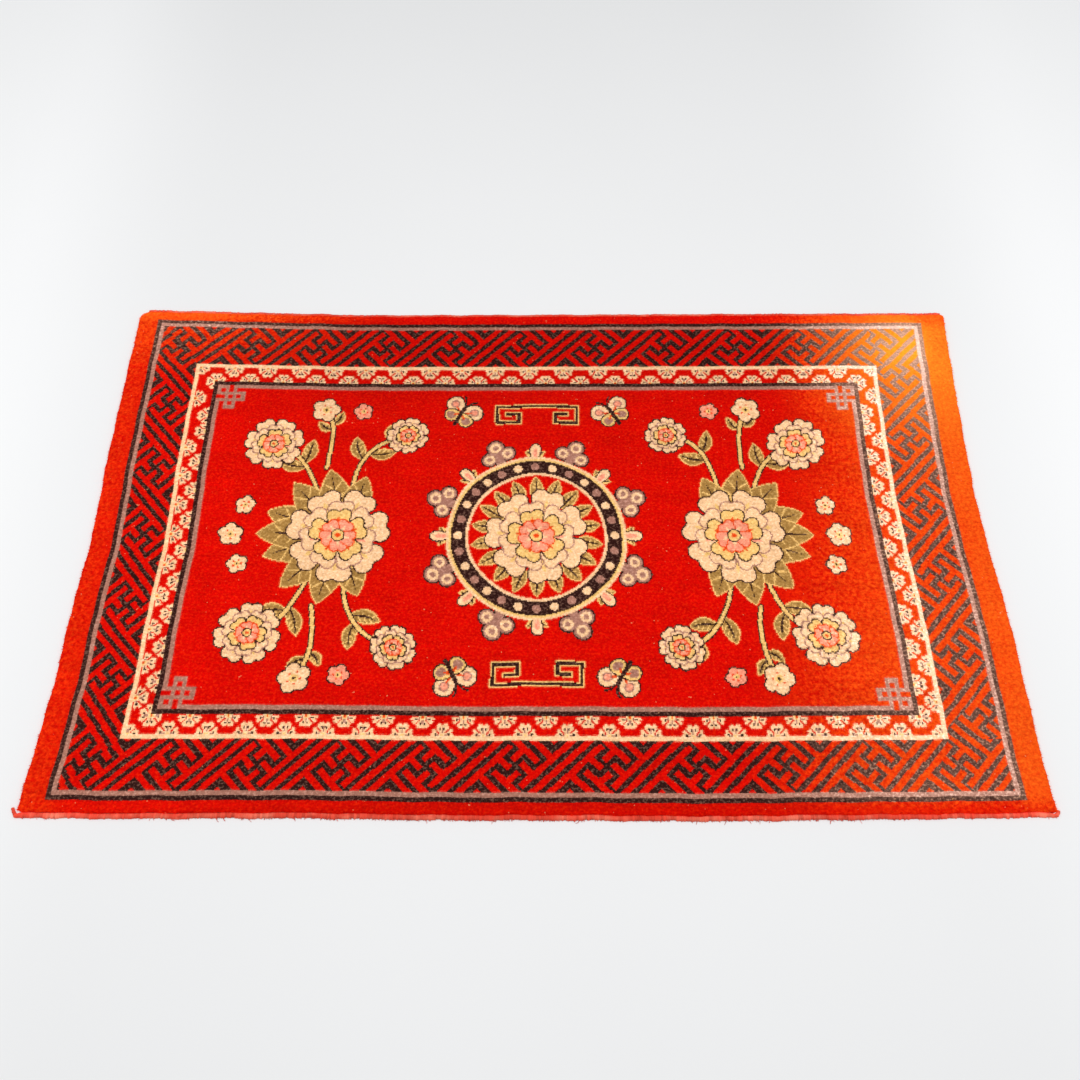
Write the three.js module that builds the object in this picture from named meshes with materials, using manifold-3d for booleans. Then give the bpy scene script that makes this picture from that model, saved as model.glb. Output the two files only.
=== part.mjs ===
// A hand-knotted Chinese wool rug lying flat: one thick pile sheet, with a flat binding sewn along each of
// its two long ends. Millimetres, +X along the rug, +Y away from the front edge, +Z up from the floor.

import * as THREE from "three";
import { mergeVertices } from "three/addons/utils/BufferGeometryUtils.js";
import Module from "manifold-3d";

const wasm = await Module();
wasm.setup();

// Heights above the floor and roundings
const PILE_HEIGHT = 9;
const PILE_ROLL = { height: 5.5, inset: 4.5, steps: 3 };
const BINDING_HEIGHT = 4.5;
const BINDING_ROLL = { height: 3, inset: 1.6, steps: 2 };

// The binding strips, which narrow towards their tips
const BINDING_WIDTH = { front: 7.2, back: 8 };
const SEWN_GAP = 0.3;
const TIP = { length: 16, width: 0.75 };
const END_STEPS = 4;
const END_ELBOW = 0.4;

// Spacing of the outline's points, and the small ripple that the pile gives the edges
const EDGE_STEP = 16;
const RIPPLES = [
  { length: 131, depth: 0.6, start: 0.4 },
  { length: 71, depth: 0.4, start: 2.1 },
];

// Edges of the pile. "along" runs from left to right, or from front to back, and "out" is the distance
// from the middle lines. The sides and the back edge draw in, and the front edge bellies out a little.
const LEFT_EDGE = [
  { along: -560, out: 921.5 },
  { along: -480, out: 916.7 },
  { along: -320, out: 909.2 },
  { along: -180, out: 910.2 },
  { along: -20, out: 904.9 },
  { along: 150, out: 911.3 },
  { along: 300, out: 913.7 },
  { along: 568, out: 916.1 },
];
const RIGHT_EDGE = [
  { along: -560, out: 924.5 },
  { along: -508, out: 919 },
  { along: -430, out: 918.5 },
  { along: -340, out: 918.7 },
  { along: -180, out: 919 },
  { along: -60, out: 913.8 },
  { along: 90, out: 911.1 },
  { along: 250, out: 917.5 },
  { along: 400, out: 925.7 },
  { along: 574, out: 936.5 },
];
const BACK_EDGE = [
  { along: -916, out: 569.3 },
  { along: -700, out: 564.3 },
  { along: -520, out: 560.5 },
  { along: -400, out: 558.1 },
  { along: -170, out: 560.2 },
  { along: 100, out: 563.7 },
  { along: 400, out: 568 },
  { along: 750, out: 572.6 },
  { along: 936, out: 575.5 },
];
const FRONT_EDGE = [
  { along: -921, out: 561.7 },
  { along: -750, out: 563.8 },
  { along: -440, out: 561.9 },
  { along: -180, out: 565 },
  { along: 30, out: 564.7 },
  { along: 300, out: 565.8 },
  { along: 500, out: 563.4 },
  { along: 720, out: 561 },
  { along: 923, out: 557.8 },
];
const CORNER_RADIUS = { frontRight: 8, backRight: 8, backLeft: 26, frontLeft: 8 };
const CORNER_STEPS = 6;

// Loose ends of the bindings: how far each runs on past the pile's corner and how far it turns back
const LOOSE_ENDS = {
  frontLeft: { past: 11, back: 14 },
  frontRight: { past: 9, back: 9 },
  backLeft: { past: -16, back: 0 },
  backRight: { past: 2, back: 0 },
};

// Finishes
const PILE_RED = { color: 0xc8170a, roughness: 0.95, metalness: 0 };
const BINDING_RED = { color: 0xd9524a, roughness: 0.9, metalness: 0 };

// A smooth edge through a table's rows, as evenly spaced points with the pile's ripple added
function edgePoints(rows, place) {
  const curve = new THREE.SplineCurve(rows.map((row) => new THREE.Vector2(row.along, row.out)));
  const count = Math.round(curve.getLength() / EDGE_STEP);
  return curve.getSpacedPoints(count).map((point) => place(point.x, point.y + ripple(point.x)));
}

function ripple(along) {
  const turns = (wave) => (2 * Math.PI * along) / wave.length;
  return RIPPLES.reduce((sum, wave) => sum + wave.depth * Math.sin(turns(wave) + wave.start), 0);
}

const left = edgePoints(LEFT_EDGE, (along, out) => new THREE.Vector2(-out, along));
const right = edgePoints(RIGHT_EDGE, (along, out) => new THREE.Vector2(out, along));
const back = edgePoints(BACK_EDGE, (along, out) => new THREE.Vector2(along, out));
const front = edgePoints(FRONT_EDGE, (along, out) => new THREE.Vector2(along, -out));

// The pile's outline, counter-clockwise from the front left corner
function pileOutline() {
  const runs = [front, right, back.toReversed(), left.toReversed()];
  const { frontRight, backRight, backLeft, frontLeft } = CORNER_RADIUS;
  const radii = [frontRight, backRight, backLeft, frontLeft];
  const nextOf = (list, side) => list[(side + 1) % list.length];
  const corners = runs.map((run, side) => run.at(-1).clone().lerp(nextOf(runs, side)[0], 0.5));
  const isClear = (point) =>
    corners.every((corner, side) => point.distanceTo(corner) > radii[side] + EDGE_STEP / 4);
  const clearRuns = runs.map((run) => run.filter(isClear));
  return clearRuns.flatMap((run, side) => {
    const bend = roundedCorner(run.at(-1), corners[side], nextOf(clearRuns, side)[0], radii[side]);
    return [...run, ...bend];
  });
}

// One smooth bend at a corner, between the last point before it and the first one after it
function roundedCorner(before, corner, after, radius) {
  const towards = (point) => corner.clone().add(point.clone().sub(corner).setLength(radius));
  return new THREE.QuadraticBezierCurve(towards(before), corner, towards(after)).getPoints(CORNER_STEPS);
}

// The middle line of a binding, along one long edge of the pile: outward is -1 at the front, +1 at the back
function bindingLine(edge, width, outward, leftEnd, rightEnd) {
  const aside = outward * (SEWN_GAP + width / 2);
  const sewn = edge
    .filter((point) => point.x > edge[0].x - leftEnd.past && point.x < edge.at(-1).x + rightEnd.past)
    .map((point) => new THREE.Vector2(point.x, point.y + aside));
  const leftEndLine = looseEnd(sewn[0], -leftEnd.past, -outward * leftEnd.back).reverse();
  const rightEndLine = looseEnd(sewn.at(-1), rightEnd.past, -outward * rightEnd.back);
  return [...leftEndLine, ...sewn, ...rightEndLine];
}

// Points of an end that bends back as it runs on past the corner, without its first point
function looseEnd(start, past, back) {
  if (back === 0) {
    return [];
  }
  const elbow = new THREE.Vector2(start.x + past * END_ELBOW, start.y);
  const tip = new THREE.Vector2(start.x + past, start.y + back);
  return new THREE.QuadraticBezierCurve(start, elbow, tip).getPoints(END_STEPS).slice(1);
}

// A strip along a line, of even width up to its two narrower tips
function stripOutline(line, width) {
  const side = (hand) =>
    line.map((point, place) => {
      const from = line[Math.max(place - 1, 0)];
      const to = line[Math.min(place + 1, line.length - 1)];
      const along = to.clone().sub(from).normalize();
      const fromTip = Math.min(point.distanceTo(line[0]), point.distanceTo(line.at(-1)));
      const share = THREE.MathUtils.lerp(TIP.width, 1, Math.min(fromTip / TIP.length, 1));
      const reach = (hand * width * share) / 2;
      return new THREE.Vector2(point.x - along.y * reach, point.y + along.x * reach);
    });
  return [...side(-1), ...side(1).reverse()];
}

// A flat solid with its top edge rolled over. The roll below the floor is cut off for a flat underside.
function rolledSheet(outline, height, roll) {
  const geometry = new THREE.ExtrudeGeometry(new THREE.Shape(outline), {
    depth: height - roll.height,
    steps: 1,
    bevelEnabled: true,
    bevelThickness: roll.height,
    bevelSize: roll.inset,
    bevelOffset: -roll.inset,
    bevelSegments: roll.steps,
  });
  return toGeometry(toSolid(geometry).intersect(roomAboveFloor()));
}

// Everything above the floor, larger than the rug
function roomAboveFloor() {
  const span = 3000;
  const room = new THREE.BoxGeometry(span, span, span);
  room.translate(0, 0, span / 2);
  return toSolid(room);
}

function toSolid(geometry) {
  geometry.deleteAttribute("normal");
  geometry.deleteAttribute("uv");
  const merged = mergeVertices(geometry);
  const vertProperties = new Float32Array(merged.attributes.position.array);
  const triVerts = new Uint32Array(merged.index.array);
  return new wasm.Manifold(new wasm.Mesh({ numProp: 3, vertProperties, triVerts }));
}

function toGeometry(solid) {
  const mesh = solid.getMesh();
  const geometry = new THREE.BufferGeometry();
  geometry.setAttribute("position", new THREE.BufferAttribute(mesh.vertProperties, 3));
  geometry.setIndex(new THREE.BufferAttribute(mesh.triVerts, 1));
  geometry.computeVertexNormals();
  return geometry;
}

function piece(name, geometry, finish) {
  const mesh = new THREE.Mesh(geometry, new THREE.MeshStandardMaterial(finish));
  mesh.name = name;
  return mesh;
}

const { frontLeft, frontRight, backLeft, backRight } = LOOSE_ENDS;
const frontLine = bindingLine(front, BINDING_WIDTH.front, -1, frontLeft, frontRight);
const backLine = bindingLine(back, BINDING_WIDTH.back, 1, backLeft, backRight);
const frontStrip = stripOutline(frontLine, BINDING_WIDTH.front);
const backStrip = stripOutline(backLine, BINDING_WIDTH.back);

const rug = new THREE.Group();
rug.add(
  piece("rug_pile", rolledSheet(pileOutline(), PILE_HEIGHT, PILE_ROLL), PILE_RED),
  piece("front_binding", rolledSheet(frontStrip, BINDING_HEIGHT, BINDING_ROLL), BINDING_RED),
  piece("back_binding", rolledSheet(backStrip, BINDING_HEIGHT, BINDING_ROLL), BINDING_RED),
);

// The origin lies on the floor, under the middle of the whole rug
const middle = new THREE.Box3().setFromObject(rug).getCenter(new THREE.Vector3());
rug.position.set(-middle.x, -middle.y, 0);

export default rug;
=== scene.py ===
"""A hand-knotted Chinese wool rug, lying flat: charted pile, a woven back and two sewn-on bindings.

Sizes of the plan are in millimetres and in knots, as a weaver counts them. Blender's pieces are in metres.
"""

import functools
import math
from typing import NamedTuple

import bpy
import numpy as np
from mathutils import Matrix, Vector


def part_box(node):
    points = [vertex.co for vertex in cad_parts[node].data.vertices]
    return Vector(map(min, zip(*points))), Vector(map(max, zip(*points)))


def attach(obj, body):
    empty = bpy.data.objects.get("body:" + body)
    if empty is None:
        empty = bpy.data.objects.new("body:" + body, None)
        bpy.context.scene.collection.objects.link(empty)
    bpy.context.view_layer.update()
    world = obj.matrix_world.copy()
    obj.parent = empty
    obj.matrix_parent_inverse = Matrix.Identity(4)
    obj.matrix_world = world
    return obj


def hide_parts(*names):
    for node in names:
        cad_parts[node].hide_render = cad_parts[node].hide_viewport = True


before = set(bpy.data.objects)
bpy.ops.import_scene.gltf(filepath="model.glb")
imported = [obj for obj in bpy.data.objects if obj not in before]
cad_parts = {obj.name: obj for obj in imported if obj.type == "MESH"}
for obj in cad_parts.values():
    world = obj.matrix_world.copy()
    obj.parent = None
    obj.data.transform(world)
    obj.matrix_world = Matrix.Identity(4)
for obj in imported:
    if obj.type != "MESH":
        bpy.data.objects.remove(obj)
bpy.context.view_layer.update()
PILE_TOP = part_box("rug_pile")[1].z
BINDING_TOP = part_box("front_binding")[1].z

bl_info = {
    "name": "Chinese Rug",
    "version": (1, 0, 0),
    "blender": (4, 5, 0),
    "location": "View3D > Sidebar > Rug",
    "description": "Knots a wool rug from its chart, and adds its woven back, bindings and stage",
    "category": "Add Mesh",
}

BODY = "root"
MM = 0.001

# The plan's middle is the middle of the outer guard stripe. It lies here in the frame, in millimetres.
PLAN_MIDDLE = (-1.017, -4.973)

# Edges of the pile, as in the part's source: place along the edge and distance from the middle line
EDGES = {
    "left": (
        (-560, 921.5), (-480, 916.7), (-320, 909.2), (-180, 910.2),
        (-20, 904.9), (150, 911.3), (300, 913.7), (568, 916.1),
    ),
    "right": (
        (-560, 924.5), (-508, 919), (-430, 918.5), (-340, 918.7), (-180, 919),
        (-60, 913.8), (90, 911.1), (250, 917.5), (400, 925.7), (574, 936.5),
    ),
    "back": (
        (-916, 569.3), (-700, 564.3), (-520, 560.5), (-400, 558.1), (-170, 560.2),
        (100, 563.7), (400, 568), (750, 572.6), (936, 575.5),
    ),
    "front": (
        (-921, 561.7), (-750, 563.8), (-440, 561.9), (-180, 565), (30, 564.7),
        (300, 565.8), (500, 563.4), (720, 561), (923, 557.8),
    ),
}
# The ripple that the pile gives its edges: length, depth and start of each wave
RIPPLES = ((131, 0.6, 0.4), (71, 0.4, 2.1))
# Radii of the corners, numbered from left to right and from front to back
CORNER_RADII = {(0, 0): 8, (1, 0): 8, (1, 1): 8, (0, 1): 26}
# The bands of a side lean inwards towards the back: how far, the share of the depth where they stand still,
# and the shares of the width, from that side, where the lean begins, is full, starts to fade and is gone
LEANS = {"right": (7, 0.45, (0, 0.025, 0.1, 0.4)), "left": (-3, 0.75, (0.03, 0.06, 0.1, 0.35))}

# The rolled edge of the pile: how far in from the edge it starts, and how far down it goes
ROLL_INSET = 4.5
ROLL_DROP = 4.8
# The rim below it: height above the floor, and how far in it lies. The woven back is smaller by this scale.
FLOOR_GAP = 0.2
UNDERCUT = 1.2
BACK_SCALE = 1 - 0.0015
# How far the ragged edge of the pile hangs over, at least and at most, and how far its outer lines follow it
OVERHANG = {"front": (-2.2, -0.5), "back": (0.0, 1.2), "left": (-0.4, 1.0), "right": (-0.4, 1.0)}
RIM_SHARES = np.array([1.0, 0.7, 0.3])

# The binding strips: gap to the pile, width, and loose ends that run on past the corners and turn back
SEWN_GAP = 0.3
BINDING_WIDTH = {"front": 7.2, "back": 8}
TIP_LENGTH = 16
TIP_WIDTH = 0.85
END_ELBOW = 0.4
LOOSE_ENDS = {"front": ((11, 14), (9, 9)), "back": ((-16, 0), (2, 0))}
# How far the inner side of a binding reaches under the pile, and the length over which it gets there
TUCK = 3.2
TUCK_RUN = 10
# Steps round a binding, and how unevenly its turns of yarn stand up and out, in metres
SECTION_STEPS = 9
YARN_UP = 0.0006
YARN_OUT = 0.0016
# Tufts at the edge: how deep they root in the pile, in metres, and the corners of their sides
TUFT_ROOT = 0.0016
TUFT_FACES = ((0, 1, 3), (1, 2, 3), (2, 0, 3))
# Frays of the front binding: how many, the share that strays in its middle part and where that lies, how high
# and how far in from its edge they start, in metres, and rings along each
FRAY_COUNT = 460
FRAY_MIDDLE_SHARE = 0.7
FRAY_MIDDLE = (-0.6, 0.65)
FRAY_HEIGHT = 0.0016
FRAY_ROOT = 0.0012
FRAY_RINGS = 4

# The chart, in knots: its size, the plain margins round the guard stripe, and the bands from there inwards
COLUMNS = 741
ROWS = 456
MARGINS = {"left": 18, "right": 21, "front": 9, "back": 10}
GUARD_WIDTH = COLUMNS - MARGINS["left"] - MARGINS["right"]
GUARD_DEPTH = ROWS - MARGINS["front"] - MARGINS["back"]
MAUVE_START = 3
FRET_START = 7
FRET_KNOTS = {"left": 36, "right": 40, "front": 38, "back": 42}
FRET_DEPTH = 37
CREAM_START = 44
FLOWER_START = 48
INNER_DARK_START = 63
INNER_MAUVE_START = 66
FIELD_START = 70
FIELD_MIDDLE = (
    MARGINS["left"] + (GUARD_WIDTH + FRET_KNOTS["left"] - FRET_KNOTS["right"]) / 2,
    MARGINS["front"] + (GUARD_DEPTH + FRET_KNOTS["front"] - FRET_KNOTS["back"]) / 2,
)
# Lines between bands that lie beside their count: dark lines beaten less tightly, and the cream one more
LINE_SHIFTS = {MAUVE_START: 0.5, FLOWER_START: -0.6, INNER_DARK_START: -0.25, INNER_MAUVE_START: 0.4}
# Lines of knots near an edge, closer together where the pile rolls over
ROLL_LINES = (0, 0.45, 1.2, 2.2, 3.4, 4.7)
# Corners of a knot, counter-clockwise, and the empty rim of each strip of a bake layout
KNOT_CORNERS = ((0, 0), (1, 0), (1, 1), (0, 1))
LAYOUT_MARGIN = 0.004
# A binding's bake layout: bands that it is folded into, and the empty rim of each
TUBE_BANDS = 16
TUBE_MARGIN = 0.06

DYES = ("red", "cream", "mauve", "dark", "gold", "pink", "olive", "rust")

# Key fret: cells along and across one unit, first unit and pitch in knots on each side and in one corner
UNIT_CELLS = 24
STRIP_CELLS = 15
FRET_UNITS = {
    "front": {"first": 25.2, "pitch": 63.4},
    "back": {"first": 25.3, "pitch": 63.1},
    "left": {"first": 25.3, "pitch": 64.2},
    "right": {"first": 110.3, "pitch": 66.2},
    "corner": {"first": 60.2, "pitch": 64.0},
}
# Red strokes of half a unit, on its two slanting axes: axis, place on it, and both ends on the other axis,
# which are far off where a stroke runs on. The other half is the same, turned round.
FAR = 99
FRET_STROKES = (
    ("falling", -3.7, -FAR, 2.2),
    ("rising", -6, -3.7, FAR),
    ("rising", -1.1, -3.7, -0.45),
    ("rising", -3.6, -2.1, FAR),
    ("falling", 1.35, -3.6, -0.55),
    ("falling", -6, -FAR, FAR),
)
STROKE_HALF = 0.64
STROKE_SLACK = 0.1
# Red triangles at the strip's edges, by their limits on the rising and the falling axis
TRIANGLE_START = -8.1
TRIANGLE_LIMIT = -1.75
# The unit in the front right corner: how far it stands out from the middle of its strip, in knots, and where
# it takes over on the falling axis of the strip's last unit
CORNER_ASIDE = 13.2
CORNER_START = -7.0
# Where the weaver's count drifted: places along a side, and how far back towards its start the units lie
FRET_DRIFT = {
    "front": (
        (0, 0), (85, 2.2), (146, 5.2), (206, 8), (268, 9.4),
        (334, 7.6), (401, 3.8), (466, 1.5), (531, 0),
    ),
    "back": (
        (105, -1), (162, 1.9), (219, 3.8), (333, 4.8), (390, 4.8),
        (448, 3.8), (562, 1.9), (619, 0), (676, -1),
    ),
    "left": ((60, -2.3), (92, -1.6), (125, 1.7), (159, 2.6), (232, 3.8), (310, 4.1), (352, 3.2)),
    "right": ((0, 0),),
}

# Half flowers on the long sides are spaced evenly. The short sides have a first one, a pitch and a count, and
# end in a lone one and a pair near the back.
LONG_SIDE_FLOWERS = {"outer": 20, "inner": 19}
SHORT_SIDE_FLOWERS = {
    "left": {"outer": (76, 27.8, 9), "inner": (89, 27.9, 8), "lone": 350, "pair": (315.5, 332)},
    "right": {"outer": (73.5, 29.2, 9), "inner": (87.5, 29.1, 8), "lone": 355, "pair": (321.5, 337.5)},
}
FLOWER_DRIFT = {
    "front": (
        (48, 0), (125, 3.7), (226, 8.4), (277, 10.2), (328, 9.4), (430, 5.7), (530, 2), (651, 0),
    ),
    "back": (
        (48, 0), (134, 1), (189, 3.1), (298, 8.7), (352, 9), (407, 7.6), (462, 5.6), (571, 3.7), (651, 0),
    ),
}
FLOWER_RADIUS = 8.3
FLOWER_HALF_WIDTH = 8.4
FLOWER_HEIGHTS = {"long": {"outer": 10.0, "inner": 8.4}, "short": {"outer": 9.3, "inner": 9.8}}
# Half of a petal's spread. A half flower has one petal in the middle and a narrower one on each side.
HALF_PETAL = math.pi / 4
SIDE_PETAL = math.pi / 7
# Parts of a petal, in knots from the flower's middle, and the flower's heart with its dot
PETAL_GAP = {"half": 0.62, "start": 3.2}
PETAL_STEM = {"half": 0.6, "start": 2.4, "end": 5.4}
PETAL_EYE = {"along": 5.2, "aside": 1.5, "radius": 0.78}
HEART_RADIUS = 1.7
DOT_RADIUS = 0.9
# Directions of the sides
SIDE_TURNS = {"right": 0, "back": math.pi / 2, "left": math.pi, "front": -math.pi / 2}
OPPOSITE = {"left": "right", "right": "left", "front": "back", "back": "front"}

# Corner knots: pitch and width of the bars, and the path of the mauve line in pitches from the corner
KNOT_PITCH = 7.3
KNOT_BAR = 3.4
KNOT_BARS = (
    ((2, 0), (2, 3)), ((1, 3), (2, 3)), ((1, 0), (1, 3)), ((0, 0), (1, 0)), ((0, 0), (0, 1)),
    ((0, 1), (3, 1)), ((3, 1), (3, 2)), ((0, 2), (3, 2)),
)

# Width of the outlines in the field, and how far its lines waver, in knots
OUTLINE = 1.1
WAVER = 0.7
# Rings of a peony: petals, root, length and width in radii, dyes of fill, outline and vein, turn in petals
PEONY_RINGS = (
    (7, 0.28, 0.66, 0.60, "cream", "dark", "gold", 0.0),
    (7, 0.18, 0.52, 0.44, "cream", "mauve", "pink", 0.5),
    (5, 0.08, 0.44, 0.42, "gold", "dark", "rust", 0.1),
    (5, 0.02, 0.30, 0.29, "pink", "rust", "cream", 0.6),
)
# Wings of a butterfly: turn from the way it flies, length and width in sizes, dyes of fill and spot
WINGS = ((0.95, 1.0, 0.78, "cream", "pink"), (2.15, 0.72, 0.62, "gold", "mauve"))
# Curls of a cloud head: turn, distance and radius in sizes
CURLS = ((0.0, 0.62, 0.55), (1.75, 0.66, 0.5), (-1.75, 0.66, 0.5))
# Half of a key bracket: knots in a cell, and its path in cells
BRACKET_CELL = 4.6
BRACKET_PATH = ((0, 0), (7.5, 0), (7.5, 3.6), (3.4, 3.6), (3.4, 1.7), (5.5, 1.7))
# Sprays of one quarter of the field, in knots from its middle: start, elbow and end of the stem, and its
# leaves by their share of the way, side and length
SPRAYS = (
    ((178, 10), (190, 84), (226, 88), ((0.5, 1, 24), (0.56, -1, 24), (0.8, 1, 20), (0.84, -1, 20))),
    ((158, 10), (158, 92), (112, 98), ((0.52, 1, 24), (0.6, -1, 22), (0.84, 1, 18), (0.88, -1, 18))),
    ((178, 64), (172, 104), (184, 122), ((0.6, 1, 15), (0.7, -1, 15))),
)

# How far pale fibres lighten each dye, and how far those of the knot beside it stray in, in the dyes' order
PALE_FIBRES = (0.024, 0.20, 0.15, 0.15, 0.25, 0.25, 0.25, 0.15)
STRAY_FIBRES = (0.34, 0.34, 0.30, 0.08, 0.34, 0.34, 0.34, 0.34)

# The camera's place, the way it looks, and the way its lower edge runs
CAMERA_PLACE = (-0.0173, -0.9079, 1.7284)
CAMERA_AIM = (0.009, 0.457, -0.889)
CAMERA_LEVEL = (1.0, 0.0, 0.01)
# The light panel overhead, and half the width of the floor
PANEL_PLACE = (0.05, 0.1, 3.2)
PANEL_SIZE = (7.0, 3.0)
FLOOR_HALF = 9


def screen_colour(red, green, blue):
    """A colour's linear values, from its screen values of 0 to 255."""
    shares = [value / 255 for value in (red, green, blue)]
    return [s / 12.92 if s < 0.04045 else ((s + 0.055) / 1.055) ** 2.4 for s in shares]


def colour_property(name, description, *screen):
    return bpy.props.FloatVectorProperty(
        name=name, description=description, subtype="COLOR", size=3, min=0, max=1,
        default=screen_colour(*screen),
    )


# The paler colour of a dye stands for sun fading, and also for the painted sheen of light near the back right
# corner
def fade_sheen_property(dye, *screen):
    return colour_property(f"Faded {dye}", f"The {dye} where the sun has bleached it", *screen)


def length_property(name, description, default):
    return bpy.props.FloatProperty(
        name=name, description=description, default=default,
        min=0, precision=5, subtype="DISTANCE", unit="LENGTH",
    )


class RugDyes(bpy.types.PropertyGroup):
    """Dyes of the wool, fresh and paler: paler where the sun fades them, and where a painted sheen of light
    lies on them
    """

    red: colour_property("Red", "Ground of field and margins", 214, 6, 2)
    red_faded: fade_sheen_property("red", 255, 160, 40)
    cream: colour_property("Cream", "Petals and the cream guard line", 252, 199, 147)
    cream_faded: fade_sheen_property("cream", 255, 241, 227)
    mauve: colour_property("Mauve", "Mauve guard lines and corner knots", 168, 114, 96)
    mauve_faded: fade_sheen_property("mauve", 254, 211, 190)
    dark: colour_property("Dark brown", "Dark guard lines and the ground of the fret", 48, 22, 19)
    dark_faded: fade_sheen_property("brown", 208, 156, 130)
    gold: colour_property("Gold", "Stems and the hearts of flowers", 244, 192, 112)
    gold_faded: fade_sheen_property("gold", 255, 226, 170)
    pink: colour_property("Pink", "Inner petals", 250, 150, 118)
    pink_faded: fade_sheen_property("pink", 255, 206, 170)
    olive: colour_property("Olive", "Leaves", 166, 122, 62)
    olive_faded: fade_sheen_property("olive", 226, 186, 120)
    rust: colour_property("Rust", "Small dots and veins", 232, 66, 16)
    rust_faded: fade_sheen_property("rust", 255, 160, 70)
    binding: colour_property("Binding", "Wool of the sewn-on bindings", 224, 74, 54)


class RugSizes(bpy.types.PropertyGroup):
    """Sizes of the pile and its bindings"""

    pile_height: length_property("Pile height", "Top of the pile above the floor", PILE_TOP)
    knot_shift: length_property("Knot shift", "How far the tips of a knot stray sideways", 0.00036)
    tip_height: length_property("Tip height", "How unevenly the pile is shorn", 0.00022)
    swell: length_property("Swell", "How far the pile swells and sinks over the rug", 0.0005)
    binding_height: length_property("Binding height", "Top of the bindings above the floor", BINDING_TOP)
    rib_pitch: length_property("Rib pitch", "Spacing of the binding's ribs", 0.0042)
    rib_depth: length_property("Rib depth", "Depth of the grooves between the ribs", 0.0008)
    tuft_length: length_property("Tuft length", "Length of the tufts at the rug's edge", 0.0024)


class RugStage(bpy.types.PropertyGroup):
    """The floor and the light"""

    floor: colour_property("Floor", "The pale floor", 252, 252, 252)
    sky: bpy.props.FloatProperty(name="Sky", description="Strength of the light from all round", default=0.53)
    panel: bpy.props.FloatProperty(
        name="Panel", description="Power of the light panel overhead", default=98, unit="POWER"
    )
    lens: bpy.props.FloatProperty(
        name="Lens", description="Focal length of the camera", default=31.83,
        subtype="DISTANCE_CAMERA", unit="CAMERA",
    )


def smooth_line(rows, steps=40):
    """A smooth line through a table's rows, as closely spaced points."""
    points = np.array(rows, float)
    padded = np.vstack([points[:1], points, points[-1:]])
    t = np.linspace(0, 1, steps, endpoint=False)[:, None]
    spans = []
    for before, start, end, after in zip(padded, padded[1:], padded[2:], padded[3:]):
        leave = (end - before) / 2
        arrive = (after - start) / 2
        cubic = 2 * start - 2 * end + leave + arrive
        square = 3 * end - 3 * start - 2 * leave - arrive
        spans.append(((cubic * t + square) * t + leave) * t + start)
    return np.vstack([*spans, points[-1:]])


def edge_out(side, along):
    """Distance of an edge of the pile from the middle line, at places along it."""
    line = smooth_line(EDGES[side])
    wave = sum(depth * np.sin(2 * math.pi * along / length + start) for length, depth, start in RIPPLES)
    return np.interp(along, line[:, 0], line[:, 1]) + wave


def run(side, shares):
    """Places along an edge, at shares of its length."""
    first, last = EDGES[side][0][0], EDGES[side][-1][0]
    return first + (last - first) * shares


def rug_points(across, along):
    """Points of the plan at shares of the rug's width and depth: the four edges, blended over the rug."""
    u = np.asarray(across, float)[:, None]
    v = np.asarray(along, float)[None, :]
    front_x, back_x = run("front", u), run("back", u)
    left_y, right_y = run("left", v), run("right", v)
    front_y, back_y = -edge_out("front", front_x), edge_out("back", back_x)
    left_x, right_x = -edge_out("left", left_y), edge_out("right", right_y)
    x = blend_edges(u, v, front_x, back_x, left_x, right_x)
    y = blend_edges(u, v, front_y, back_y, left_y, right_y)
    width, depth = right_x.mean() - left_x.mean(), back_y.mean() - front_y.mean()
    for (right, back), radius in CORNER_RADII.items():
        from_side = np.abs(right - u) * width
        from_end = np.abs(back - v) * depth
        shift_x, shift_y = rounding(from_side, from_end, radius)
        x = x + (1 - 2 * right) * shift_x
        y = y + (1 - 2 * back) * shift_y
    for side, from_side in (("right", 1 - u), ("left", u)):
        reach, still, places = LEANS[side]
        x = x + reach * (still - v) * np.interp(from_side, places, (0, 1, 1, 0))
    return np.stack([x + PLAN_MIDDLE[0], y + PLAN_MIDDLE[1]], axis=-1)


def blend_edges(u, v, front, back, left, right):
    """One coordinate of the patch between four edges."""
    corners = (
        (1 - u) * (1 - v) * (front[0, 0] + left[0, 0]) / 2
        + u * (1 - v) * (front[-1, 0] + right[0, 0]) / 2
        + (1 - u) * v * (back[0, 0] + left[0, -1]) / 2
        + u * v * (back[-1, 0] + right[0, -1]) / 2
    )
    return (1 - v) * front + v * back + (1 - u) * left + u * right - corners


def rounding(from_side, from_end, radius):
    """How far points near a square corner move in, to make it a round one."""
    a = np.clip(radius - from_side, 0, None) + np.zeros_like(from_end)
    b = np.clip(radius - from_end, 0, None) + np.zeros_like(from_side)
    reach = np.hypot(a, b)
    scale = np.where(reach > 0, np.maximum(a, b) / np.maximum(reach, 1e-9), 1)
    return a * (1 - scale), b * (1 - scale)


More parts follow.
